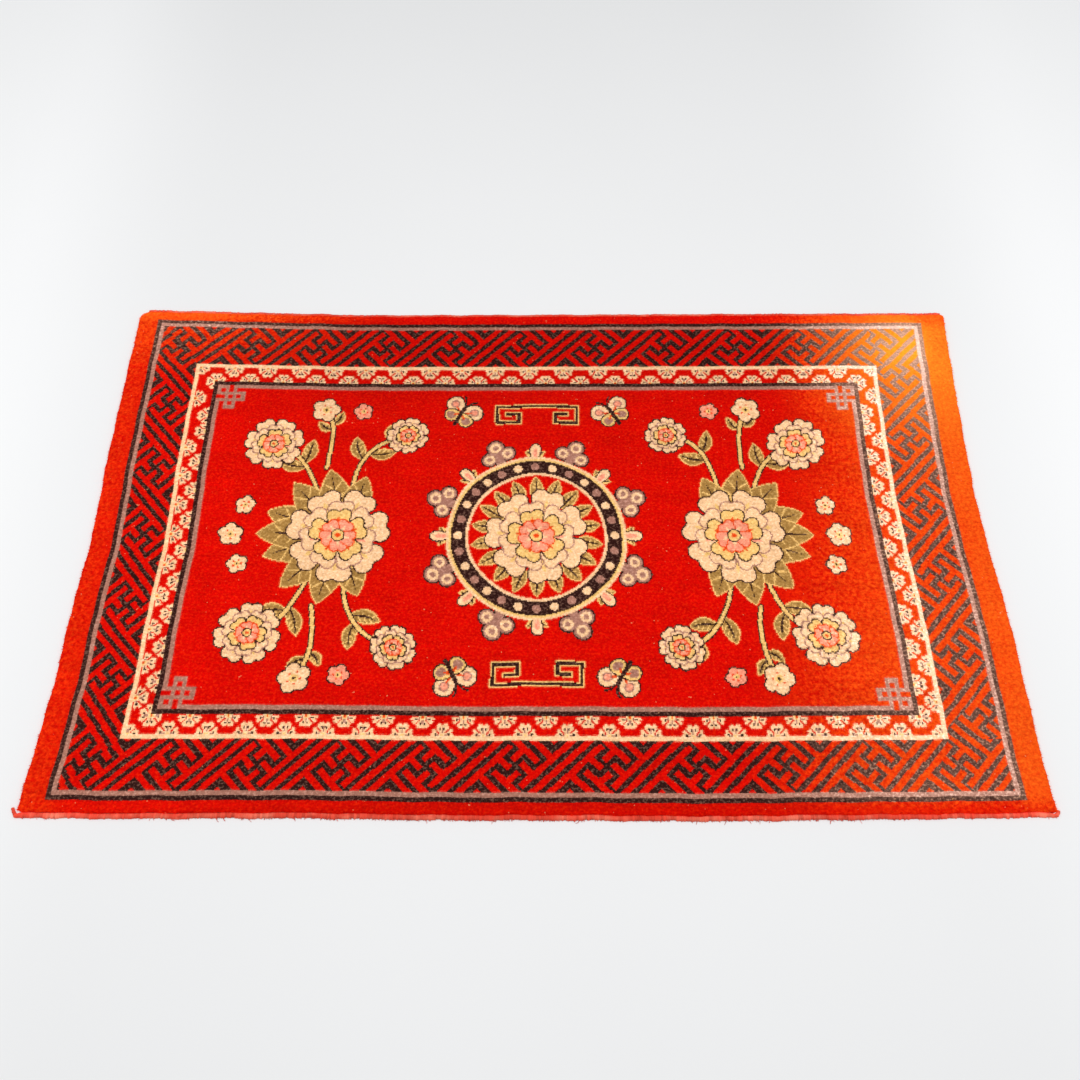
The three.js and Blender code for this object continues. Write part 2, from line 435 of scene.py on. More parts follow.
class KnotChart:
    """The weaver's chart: one dye for each knot, counted from the front left corner of the rug"""

    def __init__(self):
        self.dyes = np.full((COLUMNS, ROWS), DYES.index("red"))
        column = np.arange(COLUMNS)[:, None] + 0.5 - MARGINS["left"] + np.zeros((1, ROWS))
        row = np.arange(ROWS)[None, :] + 0.5 - MARGINS["front"] + np.zeros((COLUMNS, 1))
        self.column = column
        self.row = row
        self.depths = {
            "left": band_depth(column, "left"),
            "right": band_depth(GUARD_WIDTH - column, "right"),
            "front": band_depth(row, "front"),
            "back": band_depth(GUARD_DEPTH - row, "back"),
        }
        self.depth = np.minimum.reduce(list(self.depths.values()))

    def set(self, dye, where):
        """Dyes the knots where a mask of the chart is true."""
        self.dyes[where] = DYES.index(dye)

    def band(self, start, end):
        """True on the knots between two depths."""
        return (self.depth >= start) & (self.depth < end)

    def dye_near(self, dye, x, y, reach, inside):
        """Dyes the knots near a place, in knots from the field's middle, that a rule takes in."""
        x, y = x + FIELD_MIDDLE[0], y + FIELD_MIDDLE[1]
        left, right = max(int(x - reach), 0), min(int(x + reach) + 2, COLUMNS)
        front, back = max(int(y - reach), 0), min(int(y + reach) + 2, ROWS)
        columns = np.arange(left, right)[:, None] + 0.5
        rows = np.arange(front, back)[None, :] + 0.5
        dx = columns - x + WAVER * np.sin(rows / 11 + np.sin(columns / 37))
        dy = rows - y + WAVER * np.sin(columns / 13 + 2 * np.sin(rows / 41))
        patch = self.dyes[left:right, front:back]
        patch[inside(dx, dy)] = DYES.index(dye)

    def disc(self, dye, x, y, radius):
        self.dye_near(dye, x, y, radius + 1, lambda dx, dy: np.hypot(dx, dy) < radius)

    def ring(self, dye, x, y, inner, outer):
        def inside(dx, dy):
            reach = np.hypot(dx, dy)
            return (reach >= inner) & (reach < outer)

        self.dye_near(dye, x, y, outer + 1, inside)

    def petal(self, dye, x, y, turn, length, width, rim=0.0):
        """A petal with a round tip, from its root outwards, grown all round by a rim."""

        def inside(dx, dy):
            along, aside = turned_axes(dx, dy, turn)
            share = np.clip((along + rim) / (length + 2 * rim), 0, 1)
            return np.abs(aside) < (width / 2 + rim) * 1.45 * np.sqrt(share * (1 - share**3))

        self.dye_near(dye, x, y, length + 2 * rim + 1, inside)

    def leaf(self, dye, x, y, turn, length, width, bend=0.0, rim=0.0):
        """A pointed leaf with a bent midrib."""

        def inside(dx, dy):
            along, aside = turned_axes(dx, dy, turn)
            swell = np.sin(math.pi * np.clip((along + rim) / (length + 2 * rim), 0, 1))
            return np.abs(aside - bend * swell) < (width / 2 + rim) * swell**0.8

        self.dye_near(dye, x, y, length + abs(bend) + 2 * rim + 1, inside)

    def stem(self, dye, start, elbow, end, width):
        """A stem that bends once on its way."""
        line = bent_line(start, elbow, end)
        middle = line.mean(axis=0)
        reach = np.abs(line - middle).max() + width

        def inside(dx, dy):
            nearest = np.full(np.broadcast(dx, dy).shape, np.inf)
            for px, py in line - middle:
                nearest = np.minimum(nearest, np.hypot(dx - px, dy - py))
            return nearest < width / 2

        self.dye_near(dye, middle[0], middle[1], reach, inside)

    def bar(self, dye, x, y, half_width, half_height):
        def inside(dx, dy):
            return (np.abs(dx) < half_width) & (np.abs(dy) < half_height)

        self.dye_near(dye, x, y, max(half_width, half_height) + 1, inside)


def turned_axes(dx, dy, turn):
    """Places along and beside a line in the direction of turn."""
    return dx * math.cos(turn) + dy * math.sin(turn), dy * math.cos(turn) - dx * math.sin(turn)


def polar(x, y, turn, reach):
    """The point that lies as far as reach from another, in the direction of turn."""
    return x + math.cos(turn) * reach, y + math.sin(turn) * reach


def spokes(count, offset=0.0):
    """Evenly spaced directions all round."""
    return [2 * math.pi * (place + offset) / count for place in range(count)]


def band_depth(knots, side):
    """Depth of a knot in the bands, as if the fret had the same width on every side."""
    fret = FRET_KNOTS[side]
    inside_fret = FRET_START + (knots - FRET_START) * FRET_DEPTH / fret
    beyond = knots - (fret - FRET_DEPTH)
    return np.where(knots < FRET_START, knots, np.where(knots < FRET_START + fret, inside_fret, beyond))


def bent_line(start, elbow, end, count=48):
    """Points of a line that bends once."""
    t = np.linspace(0, 1, count)[:, None]
    start, elbow, end = (np.array(point, float) for point in (start, elbow, end))
    return (1 - t) ** 2 * start + 2 * t * (1 - t) * elbow + t**2 * end


def fret_unit(rising, falling):
    """True on the red strokes of one unit of the key fret, on its two slanting axes."""
    strokes = np.zeros(rising.shape, bool)
    for hand in (1, -1):
        axes = {"rising": rising * hand, "falling": falling * hand}
        for axis, place, low, high in FRET_STROKES:
            other = axes["falling" if axis == "rising" else "rising"]
            on_stroke = np.abs(axes[axis] - place) <= STROKE_HALF
            strokes |= on_stroke & (other >= low - STROKE_SLACK) & (other <= high + STROKE_SLACK)
        strokes |= (axes["rising"] < TRIANGLE_START) & (axes["falling"] > TRIANGLE_LIMIT)
    return strokes


def key_fret(along, outward, side, first, pitch):
    """True on the red strokes of a strip of the fret, by places along and across it."""
    rise = outward / (FRET_KNOTS[side] / STRIP_CELLS)
    nearest = np.round((along - first) / pitch)
    strokes = np.zeros(along.shape, bool)
    for neighbour in (-1, 0, 1):
        cells = (along - first - (nearest + neighbour) * pitch) / (pitch / UNIT_CELLS)
        strokes |= fret_unit((cells + rise) / 2, (cells - rise) / 2)
    return strokes


def drift(table, places):
    """How far a side's units have drifted, at places along it."""
    return np.interp(places, *zip(*table))


def chart_fret(chart):
    """The wide border: red strokes on a dark ground, in four strips that meet at the corners."""
    fret_band = chart.band(FRET_START, CREAM_START)
    chart.set("dark", fret_band)
    column, row, depths = chart.column, chart.row, chart.depths
    half = {side: FRET_START + knots / 2 for side, knots in FRET_KNOTS.items()}
    strips = {
        "front": (column, row - half["front"]),
        "back": (column, row - (GUARD_DEPTH - half["back"])),
        "left": (row, half["left"] - column),
        "right": (row, column - (GUARD_WIDTH - half["right"])),
    }
    on_front = (depths["front"] < CREAM_START) & (depths["front"] <= depths["left"])
    on_back = (depths["back"] < CREAM_START) & (depths["back"] <= depths["left"])
    on_left = (depths["left"] < CREAM_START) & ~on_front & ~on_back
    on_right = (depths["right"] < CREAM_START) & ~on_front & ~on_back
    zones = {"front": on_front, "back": on_back, "left": on_left, "right": on_right}
    for side, (along, outward) in strips.items():
        along = along + drift(FRET_DRIFT[side], along)
        strokes = key_fret(along, outward, side, **FRET_UNITS[side])
        if side == "right":
            corner = key_fret(along, outward - CORNER_ASIDE, side, **FRET_UNITS["corner"])
            cells = (along - FRET_UNITS[side]["first"]) / (FRET_UNITS[side]["pitch"] / UNIT_CELLS)
            falling = (cells - outward / (FRET_KNOTS[side] / STRIP_CELLS)) / 2
            strokes = np.where(falling < CORNER_START, corner, strokes)
        chart.set("red", zones[side] & fret_band & strokes)


def chart_half_flower(chart, column, row, side, name):
    """Half a flower: an outer one grows inwards from the cream line, an inner one outwards."""
    axis = side if name == "inner" else OPPOSITE[side]
    if side in ("left", "right"):
        half_width, half_height = FLOWER_HEIGHTS["short"][name], FLOWER_HALF_WIDTH
    else:
        half_width, half_height = FLOWER_HALF_WIDTH, FLOWER_HEIGHTS["long"][name]
    dx = (chart.column - column) * FLOWER_RADIUS / half_width
    dy = (chart.row - row) * FLOWER_RADIUS / half_height
    turn = np.abs((np.arctan2(dy, dx) - SIDE_TURNS[axis] + math.pi) % (2 * math.pi) - math.pi)
    aside = turn > HALF_PETAL
    petal_turn = np.where(aside, turn - HALF_PETAL - SIDE_PETAL, turn)
    chart_petals(chart, dx, dy, petal_turn, np.where(aside, SIDE_PETAL, HALF_PETAL), aside)


def chart_whole_flower(chart, column, row):
    """A flower of four petals, of which only the part on the flower band is knotted."""
    dx, dy = chart.column - column, chart.row - row
    petal_turn = (np.arctan2(dy, dx) + HALF_PETAL) % (2 * HALF_PETAL) - HALF_PETAL
    chart_petals(chart, dx, dy, petal_turn, HALF_PETAL, np.zeros(dx.shape, bool))


def chart_petals(chart, dx, dy, petal_turn, half_petal, narrow):
    """Two-lobed petals round a heart, by the turn from each petal's middle line. Narrow ones have one eye."""
    near = (np.abs(dx) < FLOWER_RADIUS + 1) & (np.abs(dy) < FLOWER_RADIUS + 1)
    near &= chart.band(FLOWER_START, INNER_DARK_START)
    reach = np.hypot(dx, dy)
    share = math.pi * petal_turn / half_petal
    lobes = 0.8 + 0.035 * (1 + np.cos(share)) + 0.2 * np.abs(np.sin(share))
    aside = reach * np.sin(petal_turn)
    along = reach * np.cos(petal_turn)
    between = (half_petal - np.abs(petal_turn)) * reach < PETAL_GAP["half"]
    stem = (np.abs(aside) < PETAL_STEM["half"]) & (along > PETAL_STEM["start"]) & (along < PETAL_STEM["end"])
    beside_eye = np.where(narrow, aside, np.abs(aside) - PETAL_EYE["aside"])
    chart.set("cream", near & (reach < FLOWER_RADIUS * lobes))
    chart.set("mauve", near & stem)
    chart.set("dark", near & (np.hypot(along - PETAL_EYE["along"], beside_eye) < PETAL_EYE["radius"]))
    chart.set("red", near & between & (reach > PETAL_GAP["start"]))
    chart.set("gold", near & (reach < HEART_RADIUS))
    chart.set("rust", near & (reach < DOT_RADIUS))


def chart_flowers(chart):
    """Two rows of half flowers, one standing on the cream line and one hanging from the inner dark line."""
    right = GUARD_WIDTH - (FRET_KNOTS["right"] - FRET_DEPTH)
    back = GUARD_DEPTH - (FRET_KNOTS["back"] - FRET_DEPTH)
    for name, start in (("outer", FLOWER_START), ("inner", INNER_DARK_START)):
        for side, row in (("front", start), ("back", back - start)):
            shares = np.linspace(0, 1, LONG_SIDE_FLOWERS[name] + 1)
            columns = start + (right - 2 * start) * shares
            columns = columns - drift(FLOWER_DRIFT[side], columns)
            chart_whole_flower(chart, columns[0], row)
            chart_whole_flower(chart, columns[-1], row)
            for column in columns[1:-1]:
                chart_half_flower(chart, column, row, side, name)
        for side, column in (("left", start), ("right", right - start)):
            plan = SHORT_SIDE_FLOWERS[side]
            first, pitch, count = plan[name]
            extra = (plan["lone"],) if name == "outer" else plan["pair"]
            for row in [first + pitch * place for place in range(count)] + list(extra):
                chart_half_flower(chart, column, row, side, name)


def chart_corner_knots(chart):
    """The mauve line ties a square knot in each corner of the field."""
    guard_middle = (INNER_MAUVE_START + FIELD_START) / 2
    p = (np.minimum(chart.depths["left"], chart.depths["right"]) - guard_middle) / KNOT_PITCH
    q = (np.minimum(chart.depths["front"], chart.depths["back"]) - guard_middle) / KNOT_PITCH
    inside = chart.depth >= INNER_MAUVE_START
    gap = 1 - KNOT_BAR / KNOT_PITCH
    breaks = (np.abs(p - 1.5) < gap / 2 + 0.02) & (q < 0.9)
    breaks |= (np.abs(q - 1.5) < gap / 2 + 0.02) & (p < 0.9)
    chart.set("red", inside & breaks)
    half = KNOT_BAR / KNOT_PITCH / 2
    for (left, front), (right, back) in KNOT_BARS:
        bar = (p > left - half) & (p < right + half) & (q > front - half) & (q < back + half)
        chart.set("mauve", inside & bar)


def chart_peony(chart, x, y, radius, turn=0.0):
    """A full blossom in four rings of petals with notched tips."""
    for count, root, length, width, fill, outline, vein, offset in PEONY_RINGS:
        for spoke in spokes(count, offset):
            petal = (*polar(x, y, turn + spoke, root * radius), turn + spoke)
            chart_notched_petal(chart, *petal, length * radius, width * radius, fill, outline)
            chart.leaf(vein, *petal, length * radius * 0.7, max(width * radius * 0.2, 1.8))
    chart.disc("dark", x, y, radius * 0.11 + 1)
    chart.disc("gold", x, y, radius * 0.11)
    chart.disc("rust", x, y, radius * 0.05)


def chart_notched_petal(chart, x, y, turn, length, width, fill, outline):
    """A petal whose tip is two round lobes."""
    tip = polar(x, y, turn, length * 0.74)
    for rim, dye in ((OUTLINE, outline), (0.0, fill)):
        chart.petal(dye, x, y, turn, length * 0.92, width * 0.9, rim)
        for side in (-1, 1):
            lobe = polar(*tip, turn + side * math.pi / 2, width * 0.24)
            chart.disc(dye, *lobe, width * 0.27 + rim)


def chart_leaf(chart, x, y, turn, length, bend=0.0):
    """A leaf with a pale rim, a dark midrib and side veins."""
    chart.leaf("gold", x, y, turn, length, length * 0.44, bend, rim=OUTLINE)
    chart.leaf("olive", x, y, turn, length, length * 0.44, bend)
    for share in (0.3, 0.5, 0.68):
        root = polar(x, y, turn, length * share)
        for hand in (-0.8, 0.8):
            chart.leaf("gold", *root, turn + hand, length * 0.2, 1.3)
    chart.leaf("dark", x, y, turn, length * 0.92, 1.8, bend)


def chart_spray(chart, start, elbow, end, leaves):
    """A bent stem with leaves on both sides."""
    line = bent_line(start, elbow, end)
    for share, hand, length in leaves:
        place = int(share * (len(line) - 2))
        px, py = line[place]
        dx, dy = line[place + 1] - line[place]
        chart_leaf(chart, px, py, math.atan2(dy, dx) + hand * 0.85, length, bend=hand * 1.5)
    chart.stem("dark", start, elbow, end, 5.0)
    chart.stem("gold", start, elbow, end, 3.2)


def chart_plum(chart, x, y, size, turn=0.0, fill="cream"):
    """A small open blossom of five round petals."""
    for rim, dye in ((OUTLINE, "dark"), (0.0, fill)):
        for spoke in spokes(5):
            chart.disc(dye, *polar(x, y, turn + spoke, size * 0.58), size * 0.44 + rim)
    for spoke in spokes(5, 0.5):
        chart.disc("rust", *polar(x, y, turn + spoke, size * 0.42), 0.9)
    chart.disc("gold", x, y, size * 0.27)
    chart.disc("dark", x, y, size * 0.1)


def chart_bud(chart, x, y, turn, size):
    """A closed bud in its two sepals."""
    for hand in (-1, 1):
        chart_leaf(chart, x, y, turn + hand * 0.75, size * 0.95, bend=-hand * 1.2)
    chart.petal("dark", x, y, turn, size * 1.3, size * 0.72, rim=OUTLINE)
    chart.petal("cream", x, y, turn, size * 1.3, size * 0.72)
    chart.petal("pink", x, y, turn, size * 0.95, size * 0.34)


def chart_butterfly(chart, x, y, turn, size):
    """A butterfly from above, flying towards turn."""
    bow = polar(x, y, turn, size * 0.75)
    for hand in (-1, 1):
        for angle, length, width, fill, spot in WINGS:
            wing = (x, y, turn + hand * angle)
            middle = polar(*wing, length * size * 0.62)
            chart.petal("dark", *wing, length * size, width * size, rim=OUTLINE)
            chart.petal(fill, *wing, length * size, width * size)
            chart.disc("mauve", *middle, size * 0.21)
            chart.disc(spot, *middle, size * 0.14)
            chart.leaf("rust", *wing, length * size * 0.5, 2.2)
        feeler = polar(x, y, turn + hand * 0.35, size * 0.95)
        chart.stem("dark", (x, y), bow, feeler, 1.7)
    tail = polar(x, y, turn, -size * 0.6)
    nose = polar(x, y, turn, size * 0.35)
    chart.stem("dark", tail, (x, y), nose, 3.6)


def chart_cloud_head(chart, x, y, turn, size):
    """A cloud head of three curls, on a short neck."""
    neck = polar(x, y, turn, -size * 1.3)
    curls = [(*polar(x, y, turn + angle, reach * size), radius * size) for angle, reach, radius in CURLS]
    for rim, dye in ((1.2, "dark"), (0.0, "mauve")):
        chart.stem(dye, (x, y), (x, y), neck, size * 0.6 + 2 * rim)
        chart.disc(dye, x, y, size * 0.42 + rim)
        for curl_x, curl_y, radius in curls:
            chart.disc(dye, curl_x, curl_y, radius + rim)
    for curl_x, curl_y, radius in curls:
        chart.ring("cream", curl_x, curl_y, radius * 0.36, radius * 0.72)


def chart_key_bracket(chart, x, y, up):
    """A pair of squared scrolls joined by a bar."""
    path = np.array(BRACKET_PATH) * BRACKET_CELL
    for dye, half in (("gold", 2.2), ("dark", 1.3)):
        for hand in (-1, 1):
            for start, end in zip(path, path[1:]):
                middle = (start + end) / 2
                half_width, half_height = np.abs(end - start) / 2 + half
                chart.bar(dye, x + hand * middle[0], y + up * middle[1], half_width, half_height)


def chart_medallion(chart):
    """A round medallion: a blossom inside a beaded ring, with cloud heads and buds round it."""
    for cloud, bud in zip(spokes(8, 0.5), spokes(8)):
        chart_cloud_head(chart, *polar(0, 0, cloud, 84), cloud, 12.5)
        chart_bud(chart, *polar(0, 0, bud, 72), bud, 12)
    for dye, radius in (("cream", 75), ("gold", 73), ("dark", 71)):
        chart.disc(dye, 0, 0, radius)
    for place, bead in enumerate(spokes(28)):
        chart.disc("mauve" if place % 2 else "cream", *polar(0, 0, bead, 65), 3.6)
    for dye, radius in (("cream", 59), ("red", 56.5)):
        chart.disc(dye, 0, 0, radius)
    for leaf in spokes(18, 0.5):
        chart_leaf(chart, *polar(0, 0, leaf, 32), leaf, 22)
    chart_peony(chart, 0, 0, 45, turn=math.pi / 8)


def chart_field(chart):
    """Blossom sprays, butterflies and plum blossoms on both sides of a round medallion."""
    chart_medallion(chart)
    for hand in (-1, 1):
        outward = math.pi / 2 - hand * math.pi / 2
        for up in (-1, 1):
            chart_corner_spray(chart, hand, up)
            for lift, length in ((0.3, 62), (0.85, 62), (1.4, 60), (1.95, 56)):
                chart_leaf(chart, hand * 164, up * 2, outward + hand * up * lift, length)
        chart_leaf(chart, hand * 164, 0, outward, 66)
        chart_peony(chart, hand * 164, 0, 45, turn=0.2)
        for up in (-1, 0, 1):
            chart_plum(chart, hand * (252 - 8 * abs(up)), up * 27, 10 - 2 * abs(up), turn=up + 0.4)
    for up in (-1, 1):
        chart_key_bracket(chart, 0, up * 128, -up)


def chart_corner_spray(chart, hand, up):
    """The quarter of the field towards one corner, mirrored by hand and up."""
    for *line, leaves in SPRAYS:
        chart_spray(chart, *((hand * x, up * y) for x, y in line), leaves)
    chart_plum(chart, hand * 185, up * 124, 12, turn=hand + up)
    chart_plum(chart, hand * 152, up * 122, 8, turn=hand - up, fill="pink")
    chart_peony(chart, hand * 226, up * 88, 27, turn=up * 0.3)
    chart_peony(chart, hand * 112, up * 98, 19, turn=hand * 0.5)
    chart_butterfly(chart, hand * 66, up * 120, up * math.pi / 2 + hand * up * 0.5, 19)


@functools.lru_cache(maxsize=None)
def knot_dyes():
    """The finished chart, as the number of each knot's dye."""
    chart = KnotChart()
    chart_field(chart)
    chart.set("red", chart.depth < 0)
    chart.set("dark", chart.band(0, MAUVE_START))
    chart.set("mauve", chart.band(MAUVE_START, FRET_START))
    chart_fret(chart)
    chart.set("cream", chart.band(CREAM_START, FLOWER_START))
    chart.set("red", chart.band(FLOWER_START, INNER_DARK_START))
    chart_flowers(chart)
    chart.set("dark", chart.band(INNER_DARK_START, INNER_MAUVE_START))
    chart.set("mauve", chart.band(INNER_MAUVE_START, FIELD_START))
    chart_corner_knots(chart)
    return chart.dyes


def line_shares(knots, first_side, last_side):
    """Shares of the width at the lines between knots, closer together at both edges."""
    lines = np.arange(knots + 1.0)
    lines[: len(ROLL_LINES)] = ROLL_LINES
    lines[-len(ROLL_LINES):] = knots - np.array(ROLL_LINES[::-1])
    first, first_moved = band_lines(first_side)
    last, last_moved = band_lines(last_side)
    counted = [0, *first, *(knots - last[::-1]), knots]
    moved = [0, *first_moved, *(knots - last_moved[::-1]), knots]
    return np.interp(lines, counted, moved) / knots


def band_lines(side):
    """Lines between the bands of one side, in knots from the edge: as counted, and where they lie."""
    outer = np.array([0, MAUVE_START, FRET_START])
    inner = np.array([CREAM_START, FLOWER_START, INNER_DARK_START, INNER_MAUVE_START, FIELD_START])
    shifts = np.array([LINE_SHIFTS.get(line, 0) for line in (*outer, *inner)])
    counted = MARGINS[side] + np.concatenate([outer, inner + FRET_KNOTS[side] - FRET_DEPTH])
    return counted, counted + shifts


def column_shares():
    return line_shares(COLUMNS, "left", "right")


def row_shares():
    return line_shares(ROWS, "front", "back")


def ragged(random, limits, count):
    """An uneven overhang along an edge, in metres."""
    least, most = limits
    rough = np.convolve(random.uniform(0, 1, count + 4), (0.1, 0.25, 0.3, 0.25, 0.1), "valid")
    return (least + (most - least) * np.clip(rough * 1.8 - 0.4, 0, 1)) * MM


@functools.lru_cache(maxsize=None)
def pile_grid():
    """Tips of the pile at the corners of every knot, with one more line at each edge, down on the floor."""
    sizes = bpy.context.scene.rug_sizes
    random = np.random.default_rng(11)
    across, along = column_shares(), row_shares()
    plan = rug_points(across, along)
    width = plan[-1, :, 0].mean() - plan[0, :, 0].mean()
    depth = plan[:, -1, 1].mean() - plan[:, 0, 1].mean()
    from_side = np.minimum(across, 1 - across)[:, None] * width
    from_end = np.minimum(along, 1 - along)[None, :] * depth
    inset = np.clip(1 - np.minimum(from_side, from_end) / ROLL_INSET, 0, 1)
    drop = ROLL_DROP * (1 - np.sqrt(1 - inset**2))
    x, y = plan[..., 0], plan[..., 1]
    swell = np.sin(x / 83 + np.sin(y / 140)) * np.sin(y / 67 + 1.3) * 0.5 - 0.5
    shift = random.uniform(-1, 1, plan.shape) * sizes.knot_shift
    tips = random.uniform(-1, 0.4, plan.shape[:2]) * sizes.tip_height
    height = sizes.pile_height - drop * MM + swell * sizes.swell + tips
    grid = np.dstack([plan * MM + shift, height])
    for side, rim, axis, outward in (
        ("left", grid[:3], 0, -1),
        ("right", grid[:-4:-1], 0, 1),
        ("front", grid[:, :3].swapaxes(0, 1), 1, -1),
        ("back", grid[:, :-4:-1].swapaxes(0, 1), 1, 1),
    ):
        overhang = ragged(random, OVERHANG[side], rim.shape[1])
        rim[..., axis] += outward * overhang[None, :] * RIM_SHARES[:, None]
    grid = np.pad(grid, ((1, 1), (1, 1), (0, 0)), mode="edge")
    grid[[0, -1]] += np.array([UNDERCUT * MM, 0, 0]) * np.array([1, -1])[:, None, None]
    grid[:, [0, -1]] += np.array([0, UNDERCUT * MM, 0]) * np.array([1, -1])[None, :, None]
    for rim in (grid[0], grid[-1], grid[:, 0], grid[:, -1]):
        rim[:, 2] = FLOOR_GAP * MM
    return grid


class Panel(NamedTuple):
    """A rectangle of knots, between lines of the pile's grid. If turned, its bake layout lies on its side."""

    left: int
    right: int
    front: int
    back: int
    turned: bool = False


def band_box(depth):
    """Limits of what lies deeper than a band's start, in lines of the pile's grid."""
    extra = {side: (FRET_KNOTS[side] - FRET_DEPTH) * (depth >= CREAM_START) for side in FRET_KNOTS}
    reach = {side: 1 + MARGINS[side] + depth + extra[side] for side in MARGINS}
    return Panel(reach["left"], COLUMNS + 2 - reach["right"], reach["front"], ROWS + 2 - reach["back"])


def ring_panels(outer, inner):
    """Six panels that make up a ring of knots."""
    middle = (outer.left + outer.right) // 2
    return [
        Panel(outer.left, middle, outer.front, inner.front),
        Panel(middle, outer.right, outer.front, inner.front),
        Panel(outer.left, middle, inner.back, outer.back),
        Panel(middle, outer.right, inner.back, outer.back),
        Panel(outer.left, inner.left, inner.front, inner.back, turned=True),
        Panel(inner.right, outer.right, inner.front, inner.back, turned=True),
    ]


def grid_cells(columns, rows):
    """Column and row of every cell of a grid."""
    return [line.ravel() for line in np.meshgrid(columns, rows, indexing="ij")]


def panel_faces(panel, place, count):
    """Columns and rows of a panel's knots and of their corners, and the corners' bake layout."""
    columns, rows = grid_cells(np.arange(panel.left, panel.right), np.arange(panel.front, panel.back))
    on_side = (columns == 0) | (columns == COLUMNS + 1)
    on_end = (rows == 0) | (rows == ROWS + 1)
    columns, rows = columns[~(on_side & on_end)], rows[~(on_side & on_end)]
    corner_columns = np.stack([columns + step for step, _ in KNOT_CORNERS], axis=1)
    corner_rows = np.stack([rows + step for _, step in KNOT_CORNERS], axis=1)
    across = (corner_columns - panel.left) / (panel.right - panel.left)
    along = (corner_rows - panel.front) / (panel.back - panel.front)
    if panel.turned:
        across, along = along, 1 - across
    across = LAYOUT_MARGIN + across * (1 - 2 * LAYOUT_MARGIN)
    along = (place + LAYOUT_MARGIN * count + along * (1 - 2 * LAYOUT_MARGIN * count)) / count
    return columns, rows, corner_columns, corner_rows, np.stack([across, along], axis=-1)


def pile_piece(name, panels, finish):
    """A piece of the pile, with one face for each knot."""
    grid = pile_grid()
    dyes = np.pad(knot_dyes(), 1, mode="edge")
    tones = np.random.default_rng(29).normal(0.5, 0.17, dyes.shape)
    parts = [panel_faces(panel, place, len(panels)) for place, panel in enumerate(panels)]
    columns, rows, corner_columns, corner_rows, layout = (np.concatenate(part) for part in zip(*parts))
    numbers = corner_columns * grid.shape[1] + corner_rows
    used, faces = np.unique(numbers.ravel(), return_inverse=True)
    piece = mesh_piece(name, grid.reshape(-1, 3)[used], faces.reshape(-1, 4), finish, layout)
    add_face_values(piece, "dye", (dyes[columns, rows] + 0.5) / len(DYES))
    add_face_values(piece, "beside", (neighbours(dyes)[columns, rows] + 0.5) / len(DYES))
    add_face_values(piece, "tone", np.clip(tones[columns, rows], 0, 1))
    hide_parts("rug_pile")
    return dressed(piece)


def neighbours(dyes):
    """For each knot, the dye of a knot beside it: another dye than its own, where there is one."""
    beside = dyes.copy()
    for step, axis in ((1, 0), (-1, 1), (-1, 0), (1, 1)):
        other = np.roll(dyes, step, axis)
        beside = np.where(other != dyes, other, beside)
    return beside


def mesh_piece(name, points, faces, finish, layout=None, smooth=True):
    """An object from arrays of points and faces, with a bake layout if one is given."""
    mesh = bpy.data.meshes.new(name)
    count, sides = faces.shape
    mesh.vertices.add(len(points))
    mesh.vertices.foreach_set("co", np.ascontiguousarray(points, np.float32).ravel())
    mesh.loops.add(faces.size)
    mesh.loops.foreach_set("vertex_index", np.ascontiguousarray(faces, np.int32).ravel())
    mesh.polygons.add(count)
    mesh.polygons.foreach_set("loop_start", np.arange(0, faces.size, sides, dtype=np.int32))
    mesh.update(calc_edges=True)
    if smooth:
        mesh.shade_smooth()
    else:
        mesh.shade_flat()
    if layout is not None:
        places = mesh.uv_layers.new(name="OFBake")
        places.uv.foreach_set("vector", np.ascontiguousarray(layout, np.float32).ravel())
    mesh.materials.append(finish)
    piece = bpy.data.objects.new(name, mesh)
    bpy.context.scene.collection.objects.link(piece)
    return piece


def add_face_values(piece, name, values):
    """Gives each face of a piece a value that its material reads by name."""
    layer = piece.data.attributes.new(name, "FLOAT", "FACE")
    layer.data.foreach_set("value", np.ascontiguousarray(values, np.float32))


def dressed(piece):
    """Binds a piece to the rug's body."""
    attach(piece, BODY)
    return piece


class Shade:
    """A shader socket. Sums and products of sockets and numbers add their Math nodes."""

    def __init__(self, finish, socket):
        self.finish = finish
        self.socket = socket

    def math(self, operation, *values):
        inputs = dict(enumerate(values))
        return self.finish.node("ShaderNodeMath", {"operation": operation}, inputs)

    def __add__(self, other):
        return self.math("ADD", self, other)

    def __radd__(self, other):
        return self.math("ADD", other, self)

    def __sub__(self, other):
        return self.math("SUBTRACT", self, other)

    def __rsub__(self, other):
        return self.math("SUBTRACT", other, self)

    def __mul__(self, other):
        return self.math("MULTIPLY", self, other)

    def __rmul__(self, other):
        return self.math("MULTIPLY", other, self)

    def __pow__(self, other):
        return self.math("POWER", self, other)

    def clamped(self):
        return self.finish.node("ShaderNodeClamp", {}, {"Value": self})


